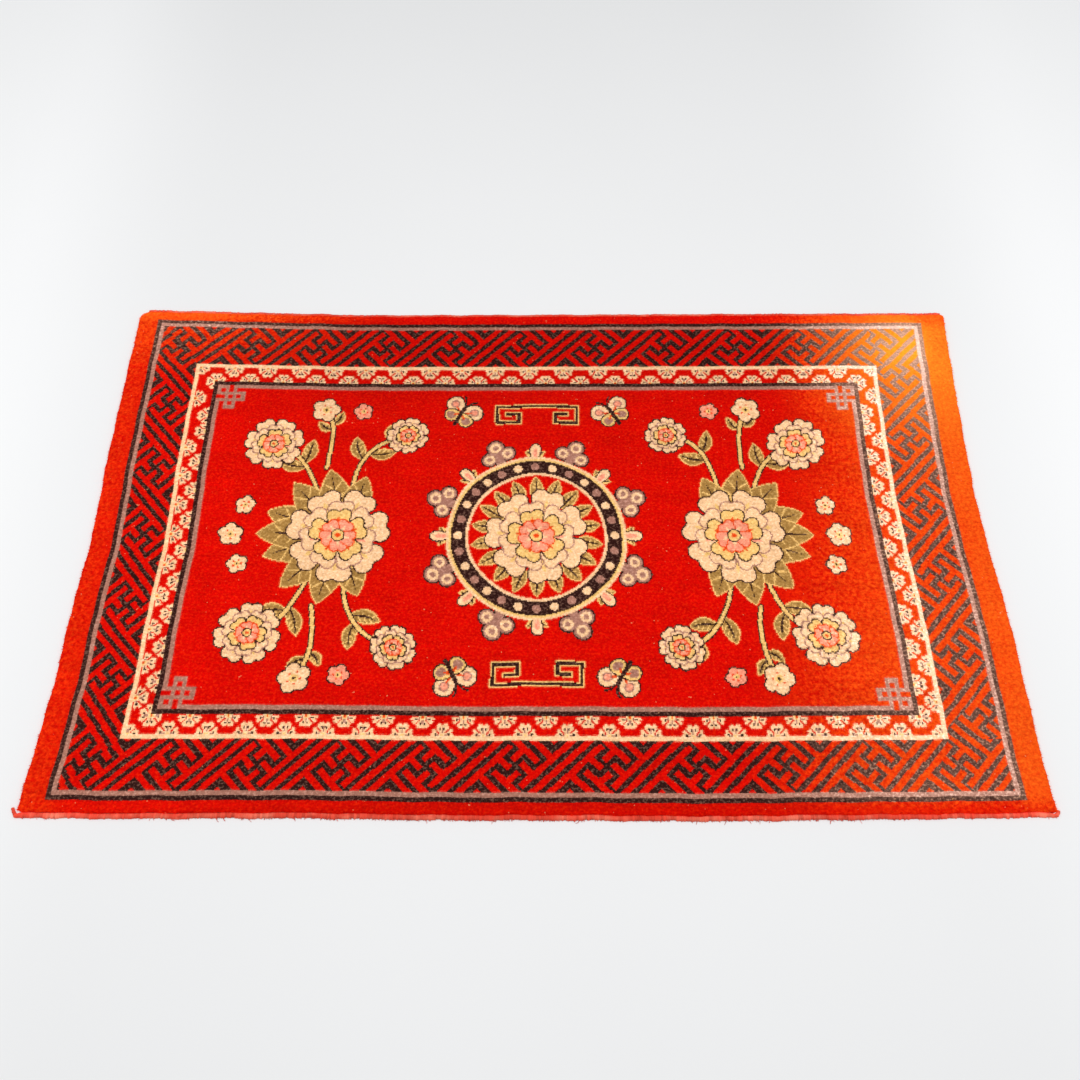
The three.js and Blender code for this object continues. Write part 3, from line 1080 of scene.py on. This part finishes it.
class Finish:
    """A node material"""

    def __init__(self, name):
        self.material = bpy.data.materials.new(name)
        self.material.use_nodes = True
        self.tree = self.material.node_tree
        self.tree.nodes.clear()

    def node(self, kind, settings=None, inputs=None, output=0):
        """Adds a node: its settings first, then the values or links of its sockets."""
        node = self.tree.nodes.new(kind)
        for name, value in (settings or {}).items():
            if name == "stops":
                self.set_stops(node.color_ramp, value)
            else:
                setattr(node, name, value)
        for name, value in (inputs or {}).items():
            socket = self.find(node.inputs, name)
            if isinstance(value, Shade):
                self.tree.links.new(value.socket, socket)
            else:
                socket.default_value = value
        return None if output is None else Shade(self, self.find(node.outputs, output))

    @staticmethod
    def find(sockets, name):
        """The socket of that number, identifier or name."""
        if isinstance(name, int):
            return sockets[name]
        return next(s for s in sockets if name in (s.identifier, s.name) and s.enabled)

    @staticmethod
    def set_stops(ramp, stops):
        """Makes a ramp of plain steps, from places and colours."""
        ramp.interpolation = "CONSTANT"
        while len(ramp.elements) < len(stops):
            ramp.elements.new(1.0)
        for element, (place, colour) in zip(ramp.elements, stops):
            element.position = place
            element.color = (*colour, 1)

    def mix(self, share, first, second, blend="MIX"):
        settings = {"data_type": "RGBA", "blend_type": blend}
        inputs = {"Factor_Float": share, "A_Color": first, "B_Color": second}
        return self.node("ShaderNodeMix", settings, inputs, "Result_Color")

    def grey(self, value):
        return self.node("ShaderNodeCombineColor", {}, {"Red": value, "Green": value, "Blue": value})

    def value(self, name):
        return self.node("ShaderNodeAttribute", {"attribute_name": name}, output="Fac")

    def smooth(self, value, low, high):
        """From 0 to 1 as the value goes from low to high, with soft ends."""
        inputs = {"Value": value, "From Min": low, "From Max": high, "To Min": 0.0, "To Max": 1.0}
        return self.node("ShaderNodeMapRange", {"interpolation_type": "SMOOTHSTEP"}, inputs, "Result")

    def steps(self, value, colours):
        """One of the colours, as the value goes from 0 to 1."""
        stops = [(place / len(colours), colour) for place, colour in enumerate(colours)]
        return self.node("ShaderNodeValToRGB", {"stops": stops}, {"Fac": value}, "Color")

    def place(self):
        return self.node("ShaderNodeTexCoord", output="Object")

    def stretched(self, place, scale):
        return self.node("ShaderNodeVectorMath", {"operation": "MULTIPLY"}, {0: place, 1: scale}, "Vector")

    def noise(self, place, scale, detail=2.0, roughness=0.5):
        inputs = {"Vector": place, "Scale": scale, "Detail": detail, "Roughness": roughness}
        return self.node("ShaderNodeTexNoise", {"noise_dimensions": "3D"}, inputs, "Fac")

    def waves(self, place, axis, scale, distortion):
        settings = {"wave_type": "BANDS", "bands_direction": axis}
        inputs = {"Vector": place, "Scale": scale, "Distortion": distortion, "Detail": 1.0}
        return self.node("ShaderNodeTexWave", settings, inputs, "Fac")

    def coordinate(self, place, axis):
        return self.node("ShaderNodeSeparateXYZ", {}, {"Vector": place}, axis)

    def bump(self, height, strength, distance):
        inputs = {"Strength": strength, "Distance": distance, "Height": height}
        return self.node("ShaderNodeBump", {}, inputs, "Normal")

    def surface(self, colour, roughness, normal, extra):
        """Ends the material in one surface. The extra values are the same all over."""
        inputs = {"Base Color": colour, "Roughness": roughness, "Normal": normal, **extra}
        shader = self.node("ShaderNodeBsdfPrincipled", {}, inputs, "BSDF")
        self.node("ShaderNodeOutputMaterial", {}, {"Surface": shader}, output=None)

    def wool(self, colour, roughness, normal, sheen, tint):
        """Ends the material in dull wool with a soft sheen."""
        extra = {
            "Specular IOR Level": 0.02,
            "Sheen Weight": sheen,
            "Sheen Roughness": 0.6,
            "Sheen Tint": (*tint, 1),
        }
        self.surface(colour, roughness, normal, extra)


def dye_ramp(finish, dye, suffix=""):
    """Each dye's colour, from the number of the dye."""
    dyes = bpy.context.scene.rug_dyes
    return finish.steps(dye, [getattr(dyes, name + suffix) for name in DYES])


def dye_share(finish, dye, shares):
    """One of the shares of a table, from the number of the dye."""
    grey = finish.steps(dye, [(share, share, share) for share in shares])
    return finish.node("ShaderNodeSeparateColor", {}, {0: grey}, "Red")


class Zones(NamedTuple):
    """A point's place on the rug, and how far it lies on the two long margins and on the rolled edge"""

    x: Shade
    y: Shade
    front_margin: Shade
    back_margin: Shade
    rolled: Shade


def rug_zones(finish, place):
    """The parts of the rug that fade and shine in their own way."""
    x, y, z = (finish.coordinate(place, axis) for axis in "XYZ")
    front_margin = 1 - finish.smooth(y, -0.56, -0.53)
    back_margin = finish.smooth(y, 0.525, 0.55)
    rolled = 1 - finish.smooth(z, 0.0045, 0.0085)
    return Zones(x, y, front_margin, back_margin, rolled)


def fade_and_sheen(finish, place, zones, mottle):
    """How far the wool pales: sun fading towards the right and the left end, paler rolled edges, and most in
    a patch near the back right corner, which is a painted sheen of reflected light.
    """
    x, y, front_margin, back_margin, rolled = zones
    cloud = finish.noise(place, 6.0, 4.0, 0.62)
    left_end = 1 - finish.smooth(x, -0.85, -0.30)
    right_margin = finish.smooth(x, 0.84, 0.885)
    right = finish.smooth(x - 0.2 * y, 0.44, 0.80) * (1 - 0.85 * front_margin - 0.75 * back_margin)
    # The patch near the back right corner is painted sheen: light reflected off the pile, painted as paler
    # wool.
    from_sheen_spot = (((x - 0.84) * 1.2) ** 2.0 + (y - 0.49) ** 2.0) ** 0.5
    patch = (1 - from_sheen_spot * 2.2).clamped() ** 2.2 * (1 - 0.35 * right_margin) * (1 - 0.35 * back_margin)
    left = (1 - finish.smooth(x, -0.90, -0.83)) * 0.035
    back_left = left_end * (0.07 * finish.smooth(y, 0.35, 0.52) + 0.10 * back_margin)
    fade = 0.13 * right + 0.05 * right_margin + 0.85 * patch + left + back_left + 0.005 * front_margin
    edges = rolled * (1 - front_margin) * 0.10
    flecks = (finish.smooth(mottle, 0.34, 0.66) - 0.5) * finish.smooth(fade, 0.0, 0.06)
    return (fade * (0.5 + cloud) + edges + 0.09 * flecks).clamped()


def nap_light(finish, zones):
    """Painted light and shade of the nap: painted shade where it leans away from the light at the middle of
    the back and on the front margin, paler sides and back margin, and a painted highlight on the rolled front
    edge.
    """
    x, y, front_margin, back_margin, rolled = zones
    sides = finish.smooth(x * x, 0.10, 0.62)
    leaning = 0.16 * finish.smooth(y, 0.0, 0.5) + 0.10 * front_margin
    # The last term is a painted highlight on the rolled front edge, which evens out the shade on its steep
    # lip.
    return 1.03 + 0.08 * sides - leaning * (1 - sides) + 0.16 * back_margin + 0.38 * front_margin * rolled


@functools.lru_cache(maxsize=None)
def wool_pile():
    """Shorn wool pile: dyed knot by knot, streaked by dye lots, paled by the sun and by a painted sheen, lit
    and shaded by the nap's painted light, and flecked with wear.
    """
    finish = Finish("wool_pile")
    place = finish.place()
    tone = finish.value("tone")
    dye = finish.value("dye")
    beside = finish.value("beside")
    stray = finish.smooth(finish.noise(place, 720.0, 1.0), 0.44, 0.66) * dye_share(finish, dye, STRAY_FIBRES)
    fresh = finish.mix(stray, dye_ramp(finish, dye), dye_ramp(finish, beside))
    # The paler colours, for sun fading and for the painted sheen.
    fade_sheen_colour = finish.mix(stray, dye_ramp(finish, dye, "_faded"), dye_ramp(finish, beside, "_faded"))
    fibres = finish.noise(finish.stretched(place, (0.85, 1.0, 1.0)), 215.0, 2.0, 0.6)
    mottle = finish.noise(place, 120.0, 3.0, 0.6)
    zones = rug_zones(finish, place)
    # This share holds the sun fading and the painted sheen near the back right corner.
    sunlight = fade_and_sheen(finish, place, zones, mottle)
    flecked = 1 + 1.6 * finish.smooth(sunlight, 0.03, 0.15)
    pale = finish.smooth(fibres, 0.49, 0.66) * dye_share(finish, dye, PALE_FIBRES) * flecked
    base = finish.mix((sunlight + pale).clamped(), fresh, fade_sheen_colour)
    lots = finish.noise(finish.stretched(place, (1.1, 26.0, 1.0)), 1.0, 3.0, 0.6)
    rows = finish.noise(finish.stretched(place, (16.0, 300.0, 1.0)), 1.0, 2.0, 0.6)
    patches = finish.noise(place, 16.0, 4.0, 0.65)
    depth = 0.30 * lots + 0.40 * patches + 0.35 * rows + 0.80 * fibres + 0.50 * mottle + 0.35 * tone - 0.33
    evened = 1 - 0.4 * finish.smooth(sunlight, 0.06, 0.2)
    # Brighter where that share is high: partly sun fading, partly painted sheen.
    paled = 1 + 0.14 * finish.smooth(sunlight, 0.0, 0.12)
    # The brightness also carries the nap's painted light and shade.
    bright = (1 + (depth - 1) * evened) * nap_light(finish, zones) * paled
    shaded = finish.mix(1.0, base, finish.grey(bright), "MULTIPLY")
    specks = finish.smooth(finish.noise(place, 160.0, 1.0, 0.5), 0.765, 0.80)
    worn = finish.mix(specks * 0.4, shaded, (*screen_colour(255, 190, 130), 1))
    tips = finish.noise(place, 620.0, 2.0, 0.6)
    normal = finish.bump(tips * 0.5 + fibres + 0.5 * rows, 0.5, 0.0012)
    finish.wool(worn, 0.93 + 0.05 * tips, normal, 0.012, (1.0, 0.3, 0.15))
    return finish.material


@functools.lru_cache(maxsize=None)
def knotted_back():
    """The underside: flat knots in their dyes, in rows between cotton wefts."""
    finish = Finish("knotted_back")
    place = finish.place()
    base = dye_ramp(finish, finish.value("dye"))
    tone = finish.value("tone")
    ribs = finish.waves(place, "X", 126.0, 0.6)
    wefts = finish.waves(place, "Y", 126.0, 0.8)
    cotton = (*screen_colour(214, 186, 150), 1)
    shown = finish.mix((1 - wefts) ** 3.0 * 0.55, base, cotton)
    # Painted shade: the knots are paler on the ribs and deeper between them, where the bump sinks.
    depth = 0.62 + 0.3 * tone + 0.14 * ribs
    shaded = finish.mix(1.0, shown, finish.grey(depth), "MULTIPLY")
    normal = finish.bump(ribs + wefts * 0.6, 0.6, 0.0008)
    finish.wool(shaded, 0.95 - 0.05 * ribs, normal, 0.04, (1.0, 0.8, 0.6))
    return finish.material


@functools.lru_cache(maxsize=None)
def binding_wool():
    """Soft wool of the bindings, paler than the pile, with painted shade in the grooves, a painted highlight
    on the inner side by the pile, and a little grime.
    """
    finish = Finish("binding_wool")
    place = finish.place()
    colour = (*bpy.context.scene.rug_dyes.binding, 1)
    patches = finish.noise(place, 22.0, 4.0, 0.65)
    fibres = finish.noise(finish.stretched(place, (1.0, 0.35, 1.0)), 900.0, 2.0, 0.6)
    pale = finish.mix(finish.smooth(patches, 0.42, 0.72), colour, (*screen_colour(240, 122, 96), 1))
    grime = finish.smooth(finish.noise(place, 60.0, 2.0, 0.5), 0.60, 0.76)
    dirty = finish.mix(grime * 0.45, pale, (*screen_colour(150, 40, 28), 1))
    x = finish.coordinate(place, "X")
    ends = 0.84 + 0.16 * finish.smooth(x * x, 0.25, 0.75)
    depth = (0.74 + 0.55 * finish.value("tone") + 0.25 * fibres) * ends
    ribbed = finish.mix(1.0, dirty, finish.grey(depth), "MULTIPLY")
    normal = finish.bump(fibres, 0.5, 0.0006)
    finish.wool(ribbed, 0.9 + 0.08 * fibres, normal, 0.08, (1.0, 0.7, 0.6))
    return finish.material


def pale_floor():
    """The plain floor, with painted shade over its middle, round the rug, and a trace of unevenness."""
    finish = Finish("pale_floor")
    place = finish.place()
    base = bpy.context.scene.rug_stage.floor
    shaded_floor = tuple(0.86 * value for value in base)
    x = finish.coordinate(place, "X")
    # Painted shade: the floor is dimmer in its middle than at its sides.
    middle = 1 - finish.smooth(x * x, 0.5, 1.6)
    colour = finish.mix(0.8 * middle + 0.2 * finish.noise(place, 1.2, 2.0), (*base, 1), (*shaded_floor, 1))
    normal = finish.bump(finish.noise(place, 180.0, 2.0), 0.02, 0.001)
    finish.surface(colour, 0.6, normal, {})
    return finish.material


def binding_line(side):
    """The middle line of a binding, from left to right, as points of the plan."""
    outward = -1 if side == "front" else 1
    (left_past, left_back), (right_past, right_back) = LOOSE_ENDS[side]
    first, last = EDGES[side][0][0], EDGES[side][-1][0]
    x = np.arange(max(first - left_past, first), min(last + right_past, last), 4.0)
    y = outward * (edge_out(side, x) + SEWN_GAP + BINDING_WIDTH[side] / 2)
    line = np.stack([x, y], axis=-1)
    ends = []
    for start, past, back in ((line[0], -left_past, left_back), (line[-1], right_past, right_back)):
        elbow = start + np.array([past * END_ELBOW, 0])
        tip = start + np.array([past, -outward * back])
        ends.append(bent_line(start, elbow, tip, 12)[1:] if back else np.empty((0, 2)))
    return np.vstack([ends[0][::-1], line, ends[1]])


def binding_piece(side):
    """One binding: a low strip of wool, ribbed by the yarn that wraps it."""
    sizes = bpy.context.scene.rug_sizes
    random = np.random.default_rng(5 if side == "front" else 6)
    line = binding_line(side) * MM
    steps = np.hypot(*np.diff(line, axis=0).T)
    travel = np.concatenate([[0], np.cumsum(steps)])
    stations = np.arange(0, travel[-1], sizes.rib_pitch / 4)
    centre = np.stack([np.interp(stations, travel, line[:, axis]) for axis in (0, 1)], axis=-1)
    ahead = np.gradient(centre, axis=0)
    ahead /= np.linalg.norm(ahead, axis=1)[:, None]
    inward = np.stack([-ahead[:, 1], ahead[:, 0]], axis=-1) * (1 if side == "front" else -1)
    rib, uneven = wrapping_yarn(random, stations, sizes.rib_pitch)
    from_tip = np.minimum(stations, travel[-1] - stations)
    share = TIP_WIDTH + (1 - TIP_WIDTH) * np.clip(from_tip / (TIP_LENGTH * MM), 0, 1)
    end = np.clip(from_tip / (2 * MM) + 0.4, 0, 1) ** 0.5
    half = BINDING_WIDTH[side] / 2 * MM * share * end
    top = (sizes.binding_height - sizes.rib_depth * (1 - rib) + uneven * YARN_UP) * end
    turns = np.linspace(0, math.pi, SECTION_STEPS)
    across = half[:, None] * np.cos(turns)[None, :]
    outer = np.clip(-np.cos(turns), 0, 1)[None, :]
    across -= outer * (uneven * YARN_OUT - sizes.rib_depth * 0.8 * (1 - rib))[:, None]
    sewn = np.clip((from_tip - TIP_LENGTH * MM) / (TUCK_RUN * MM), 0, 1)
    across += np.clip(np.cos(turns), 0, 1)[None, :] * (TUCK * MM * sewn)[:, None]
    height = np.maximum(top[:, None] * np.sin(turns)[None, :] ** 0.8, FLOOR_GAP * MM)
    plan = centre[:, None, :] + inward[:, None, :] * across[..., None]
    plan = plan + np.array(PLAN_MIDDLE) * MM
    points = np.dstack([plan, height])
    faces, layout = tube_faces(*points.shape[:2])
    if side == "back":
        faces = faces[:, ::-1]
        layout = layout[:, ::-1]
    faces, layout = capped(faces, layout, *points.shape[:2])
    piece = mesh_piece(f"{side}_binding_wool", points.reshape(-1, 3), faces, binding_wool(), layout)
    # Tones: uneven turns of yarn, painted shade in the grooves between the turns, and a painted highlight on
    # the inner side, against the shade of the pile beside it.
    tones = 0.5 + 0.7 * uneven - 0.25 * (1 - rib)
    inner = 0.4 * np.clip(np.cos(turns), 0, 1)
    tones = (tones[:-1, None] + inner[None, :]).ravel()
    add_face_values(piece, "tone", np.append(tones, np.full(len(faces) - len(tones), 0.5)))
    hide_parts(f"{side}_binding")
    return dressed(piece)


def wrapping_yarn(random, stations, pitch):
    """How far the yarn round a binding stands out at each station, and an uneven share for each turn."""
    widths = pitch * random.uniform(0.7, 1.35, int(1.5 * stations[-1] / pitch))
    starts = np.concatenate([[0], np.cumsum(widths)])
    turn = np.searchsorted(starts, stations, "right") - 1
    within = (stations - starts[turn]) / widths[turn]
    return np.sin(math.pi * within), random.uniform(-0.5, 0.5, len(widths))[turn]


def tube_faces(stations, turns):
    """Faces and bake layout of a strip of rings, closed underneath and folded into bands for the layout."""
    along, place = grid_cells(np.arange(stations - 1), np.arange(turns))
    length = -(-(stations - 1) // TUBE_BANDS)
    band = along // length
    faces, layout = [], []
    for aside, ahead in KNOT_CORNERS:
        faces.append((along + ahead) * turns + (place + aside) % turns)
        across = (along - band * length + ahead) / length
        upward = (band + TUBE_MARGIN + (1 - 2 * TUBE_MARGIN) * (place + aside) / turns) / TUBE_BANDS
        layout.append(np.stack([across, upward], axis=-1))
    return np.stack(faces, axis=1), np.stack(layout, axis=1)


def capped(faces, layout, stations, turns):
    """Closes both ends of a strip with a fan of quads."""
    first = np.arange(turns)
    last = (stations - 1) * turns + first
    caps = []
    for ring in (first[::-1], last):
        for place in range(1, turns - 2, 2):
            caps.append([ring[0], ring[place], ring[place + 1], ring[min(place + 2, turns - 1)]])
    caps = np.array(caps)
    return np.vstack([faces, caps]), np.vstack([layout, np.full((len(caps), 4, 2), 0.5)])


def edge_tufts():
    """Tufts of wool that stray from the rug's edge, as small locks of three sides."""
    sizes = bpy.context.scene.rug_sizes
    random = np.random.default_rng(17)
    grid = pile_grid()
    rims = (
        (grid[1, 2:-2], (-1, 0), 1.5),
        (grid[-2, 2:-2], (1, 0), 1.5),
        (grid[2:-2, -2], (0, 1), 1.0),
    )
    up = np.array([0, 0, 1.0])
    points, faces = [], []
    for rim, outward, per_knot in rims:
        count = int(len(rim) * per_knot)
        roots = rim[random.integers(0, len(rim), count)]
        roots = roots + up * random.uniform(-0.0025, 0.0035, count)[:, None]
        out = np.array([*outward, 0.0])
        side = np.array([-outward[1], outward[0], 0.0])
        reach = sizes.tuft_length * random.uniform(0.35, 1.0, count)[:, None]
        stray = random.uniform(-0.7, 0.7, count)[:, None]
        fall = random.uniform(-0.75, 0.35, count)[:, None]
        tips = roots + reach * (out + side * stray + up * fall)
        tips[:, 2] = np.maximum(tips[:, 2], FLOOR_GAP * MM)
        roots = roots - out * TUFT_ROOT
        thick = random.uniform(0.0006, 0.0011, count)[:, None]
        ring = [roots + thick * side, roots - thick * side, roots + thick * 1.3 * up]
        first = sum(len(part) for part in points) + np.arange(count)[:, None] * 4
        points.append(np.stack([*ring, tips], axis=1).reshape(-1, 3))
        faces.extend(first + np.array(corners) for corners in TUFT_FACES)
    points, faces = np.concatenate(points), np.concatenate(faces)
    piece = mesh_piece("edge_tufts", points, faces, wool_pile(), smooth=False)
    red = np.full(len(faces), 0.5 / len(DYES))
    add_face_values(piece, "dye", red)
    add_face_values(piece, "beside", red)
    add_face_values(piece, "tone", random.uniform(0.6, 1.0, len(faces)))
    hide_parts("rug_pile")
    return dressed(piece)


def binding_frays():
    """Short ends of yarn that stray from the front binding onto the floor."""
    random = np.random.default_rng(23)
    line = binding_line("front") * MM + np.array(PLAN_MIDDLE) * MM
    middle = np.flatnonzero((line[:, 0] > FRAY_MIDDLE[0]) & (line[:, 0] < FRAY_MIDDLE[1]))
    is_middle = random.uniform(0, 1, FRAY_COUNT) < FRAY_MIDDLE_SHARE
    middle_places = random.choice(middle, FRAY_COUNT)
    places = np.where(is_middle, middle_places, random.integers(0, len(line), FRAY_COUNT))
    points, faces = [], []
    for number, (x, y) in enumerate(line[places]):
        length = random.uniform(0.0012, 0.0042) * (2.2 if number % 17 == 0 else 1)
        turn = -math.pi / 2 + random.uniform(-1.0, 1.0)
        curl = random.uniform(-0.9, 0.9)
        thick = random.uniform(0.0004, 0.0008) * (1.9 if number % 7 == 0 else 1)
        start = np.array([x, y - BINDING_WIDTH["front"] / 2 * MM + FRAY_ROOT, 0])
        base = len(points)
        for share in np.arange(FRAY_RINGS) / (FRAY_RINGS - 1):
            angle = turn + curl * share
            centre = start + length * share * np.array([math.cos(angle), math.sin(angle), 0])
            centre[2] = FRAY_HEIGHT * (1 - share) + thick * 0.9
            radius = thick * (1 - 0.55 * share)
            side = radius * np.array([-math.sin(angle), math.cos(angle), 0])
            points.extend([centre + side, centre - side, centre + np.array([0, 0, radius * 1.4])])
        for ring in range(base, base + 3 * (FRAY_RINGS - 1), 3):
            for side in range(3):
                a, b = ring + side, ring + (side + 1) % 3
                faces.append([a, b, b + 3, a + 3])
    faces = np.array(faces)
    piece = mesh_piece("front_binding_frays", np.array(points), faces, binding_wool())
    tones = random.uniform(0.1, 0.9, FRAY_COUNT)
    add_face_values(piece, "tone", np.repeat(tones, len(faces) // FRAY_COUNT))
    return dressed(piece)


def woven_back():
    """The underside of the rug: one sheet that shows the knots of the whole chart from below, two by two."""
    column_lines = np.append(np.arange(0, COLUMNS, 2), COLUMNS)
    row_lines = np.append(np.arange(0, ROWS, 2), ROWS)
    plan = rug_points(column_shares()[column_lines], row_shares()[row_lines]) * MM
    middle = plan.mean(axis=(0, 1))
    plan = middle + (plan - middle) * BACK_SCALE
    grid = np.dstack([plan, np.full(plan.shape[:2], FLOOR_GAP * MM)])
    width, depth = len(column_lines) - 1, len(row_lines) - 1
    columns, rows = grid_cells(np.arange(width), np.arange(depth))
    corners = [(columns + right, rows + back) for right, back in KNOT_CORNERS[::-1]]
    faces = np.stack([column * (depth + 1) + row for column, row in corners], axis=1)
    layout = np.stack([np.stack([column / width, row / depth], -1) for column, row in corners], axis=1)
    piece = mesh_piece("woven_back", grid.reshape(-1, 3), faces, knotted_back(), layout)
    random = np.random.default_rng(31)
    add_face_values(piece, "dye", (knot_dyes()[column_lines[columns], row_lines[rows]] + 0.5) / len(DYES))
    add_face_values(piece, "tone", random.uniform(0.2, 0.9, len(faces)))
    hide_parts("rug_pile")
    return dressed(piece)


class RUG_OT_pile_field(bpy.types.Operator):
    """Knots the field, in a front and a back half"""

    bl_idname = "rug.pile_field"
    bl_label = "Pile of the field"

    def execute(self, context):
        field = band_box(FIELD_START)
        middle = (field.left + field.right) // 2
        cut = (field.front + field.back) // 2
        for name, front, back in (("front", field.front, cut), ("back", cut, field.back)):
            halves = [Panel(field.left, middle, front, back), Panel(middle, field.right, front, back)]
            pile_piece(f"pile_field_{name}", halves, wool_pile())
        return {"FINISHED"}


class RUG_OT_pile_borders(bpy.types.Operator):
    """Knots the fret border, the flower border and the plain margin"""

    bl_idname = "rug.pile_borders"
    bl_label = "Pile of the borders"

    def execute(self, context):
        outline = Panel(0, COLUMNS + 2, 0, ROWS + 2)
        limits = [outline, band_box(0), band_box(CREAM_START), band_box(FIELD_START)]
        names = ("pile_margin", "pile_fret_border", "pile_flower_border")
        for name, outer, inner in zip(names, limits, limits[1:]):
            pile_piece(name, ring_panels(outer, inner), wool_pile())
        return {"FINISHED"}


class RUG_OT_edges(bpy.types.Operator):
    """Adds the bindings, their stray yarn ends and the tufts at the edges"""

    bl_idname = "rug.edges"
    bl_label = "Bindings and tufts"

    def execute(self, context):
        for side in ("front", "back"):
            binding_piece(side)
        binding_frays()
        edge_tufts()
        return {"FINISHED"}


class RUG_OT_woven_back(bpy.types.Operator):
    bl_idname = "rug.woven_back"
    bl_label = "Woven back"

    def execute(self, context):
        back = woven_back()
        return {"FINISHED"}


class RUG_OT_stage(bpy.types.Operator):
    """Sets up the floor, the soft light and the camera"""

    bl_idname = "rug.stage"
    bl_label = "Stage"

    def execute(self, context):
        settings = context.scene.rug_stage
        corners = FLOOR_HALF * np.array([(-1, -1, 0), (1, -1, 0), (1, 1, 0), (-1, 1, 0)], float)
        floor = mesh_piece("floor", corners, np.array([[0, 1, 2, 3]]), pale_floor())
        floor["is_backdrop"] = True
        sky = bpy.data.worlds.new("studio")
        sky.use_nodes = True
        background = sky.node_tree.nodes["Background"]
        background.inputs["Color"].default_value = (0.97, 0.985, 1.0, 1)
        background.inputs["Strength"].default_value = settings.sky
        context.scene.world = sky
        self.add_panel(context, settings.panel)
        self.add_camera(context, settings.lens)
        context.scene.view_settings.view_transform = "Standard"
        return {"FINISHED"}

    @staticmethod
    def add_panel(context, power):
        lamp = bpy.data.lights.new("overhead_panel", "AREA")
        lamp.shape = "RECTANGLE"
        lamp.size, lamp.size_y = PANEL_SIZE
        lamp.energy = power
        panel = bpy.data.objects.new("overhead_panel", lamp)
        panel.location = PANEL_PLACE
        context.scene.collection.objects.link(panel)

    @staticmethod
    def add_camera(context, lens):
        data = bpy.data.cameras.new("camera")
        data.sensor_width = 36.0
        data.lens = lens
        camera = bpy.data.objects.new("camera", data)
        forward = np.array(CAMERA_AIM)
        forward /= np.linalg.norm(forward)
        right = np.array(CAMERA_LEVEL)
        right -= forward * (right @ forward)
        right /= np.linalg.norm(right)
        up = np.cross(right, forward)
        turn = Matrix(np.stack([right, up, -forward], axis=1).tolist())
        camera.matrix_world = Matrix.Translation(CAMERA_PLACE) @ turn.to_4x4()
        context.scene.collection.objects.link(camera)
        context.scene.camera = camera


class RUG_PT_panel(bpy.types.Panel):
    """Lists the steps of the rug"""

    bl_idname = "RUG_PT_panel"
    bl_label = "Chinese Rug"
    bl_space_type = "VIEW_3D"
    bl_region_type = "UI"
    bl_category = "Rug"

    def draw(self, context):
        for operator in OPERATORS:
            self.layout.operator(operator.bl_idname)
        for group in (context.scene.rug_sizes, context.scene.rug_dyes, context.scene.rug_stage):
            for name in group.bl_rna.properties.keys():
                if name not in ("rna_type", "name"):
                    self.layout.prop(group, name)


GROUPS = {"rug_dyes": RugDyes, "rug_sizes": RugSizes, "rug_stage": RugStage}
OPERATORS = (RUG_OT_stage, RUG_OT_pile_field, RUG_OT_pile_borders, RUG_OT_edges, RUG_OT_woven_back)


def register():
    for group in GROUPS.values():
        bpy.utils.register_class(group)
    for name, group in GROUPS.items():
        setattr(bpy.types.Scene, name, bpy.props.PointerProperty(type=group))
    for shown in (*OPERATORS, RUG_PT_panel):
        bpy.utils.register_class(shown)


def unregister():
    for shown in (RUG_PT_panel, *reversed(OPERATORS)):
        bpy.utils.unregister_class(shown)
    for name in GROUPS:
        delattr(bpy.types.Scene, name)
    for group in GROUPS.values():
        bpy.utils.unregister_class(group)


def main():
    register()
    bpy.ops.rug.stage()
    bpy.ops.rug.pile_field()
    bpy.ops.rug.pile_borders()
    bpy.ops.rug.edges()
    bpy.ops.rug.woven_back()


if __name__ == "__main__":
    main()
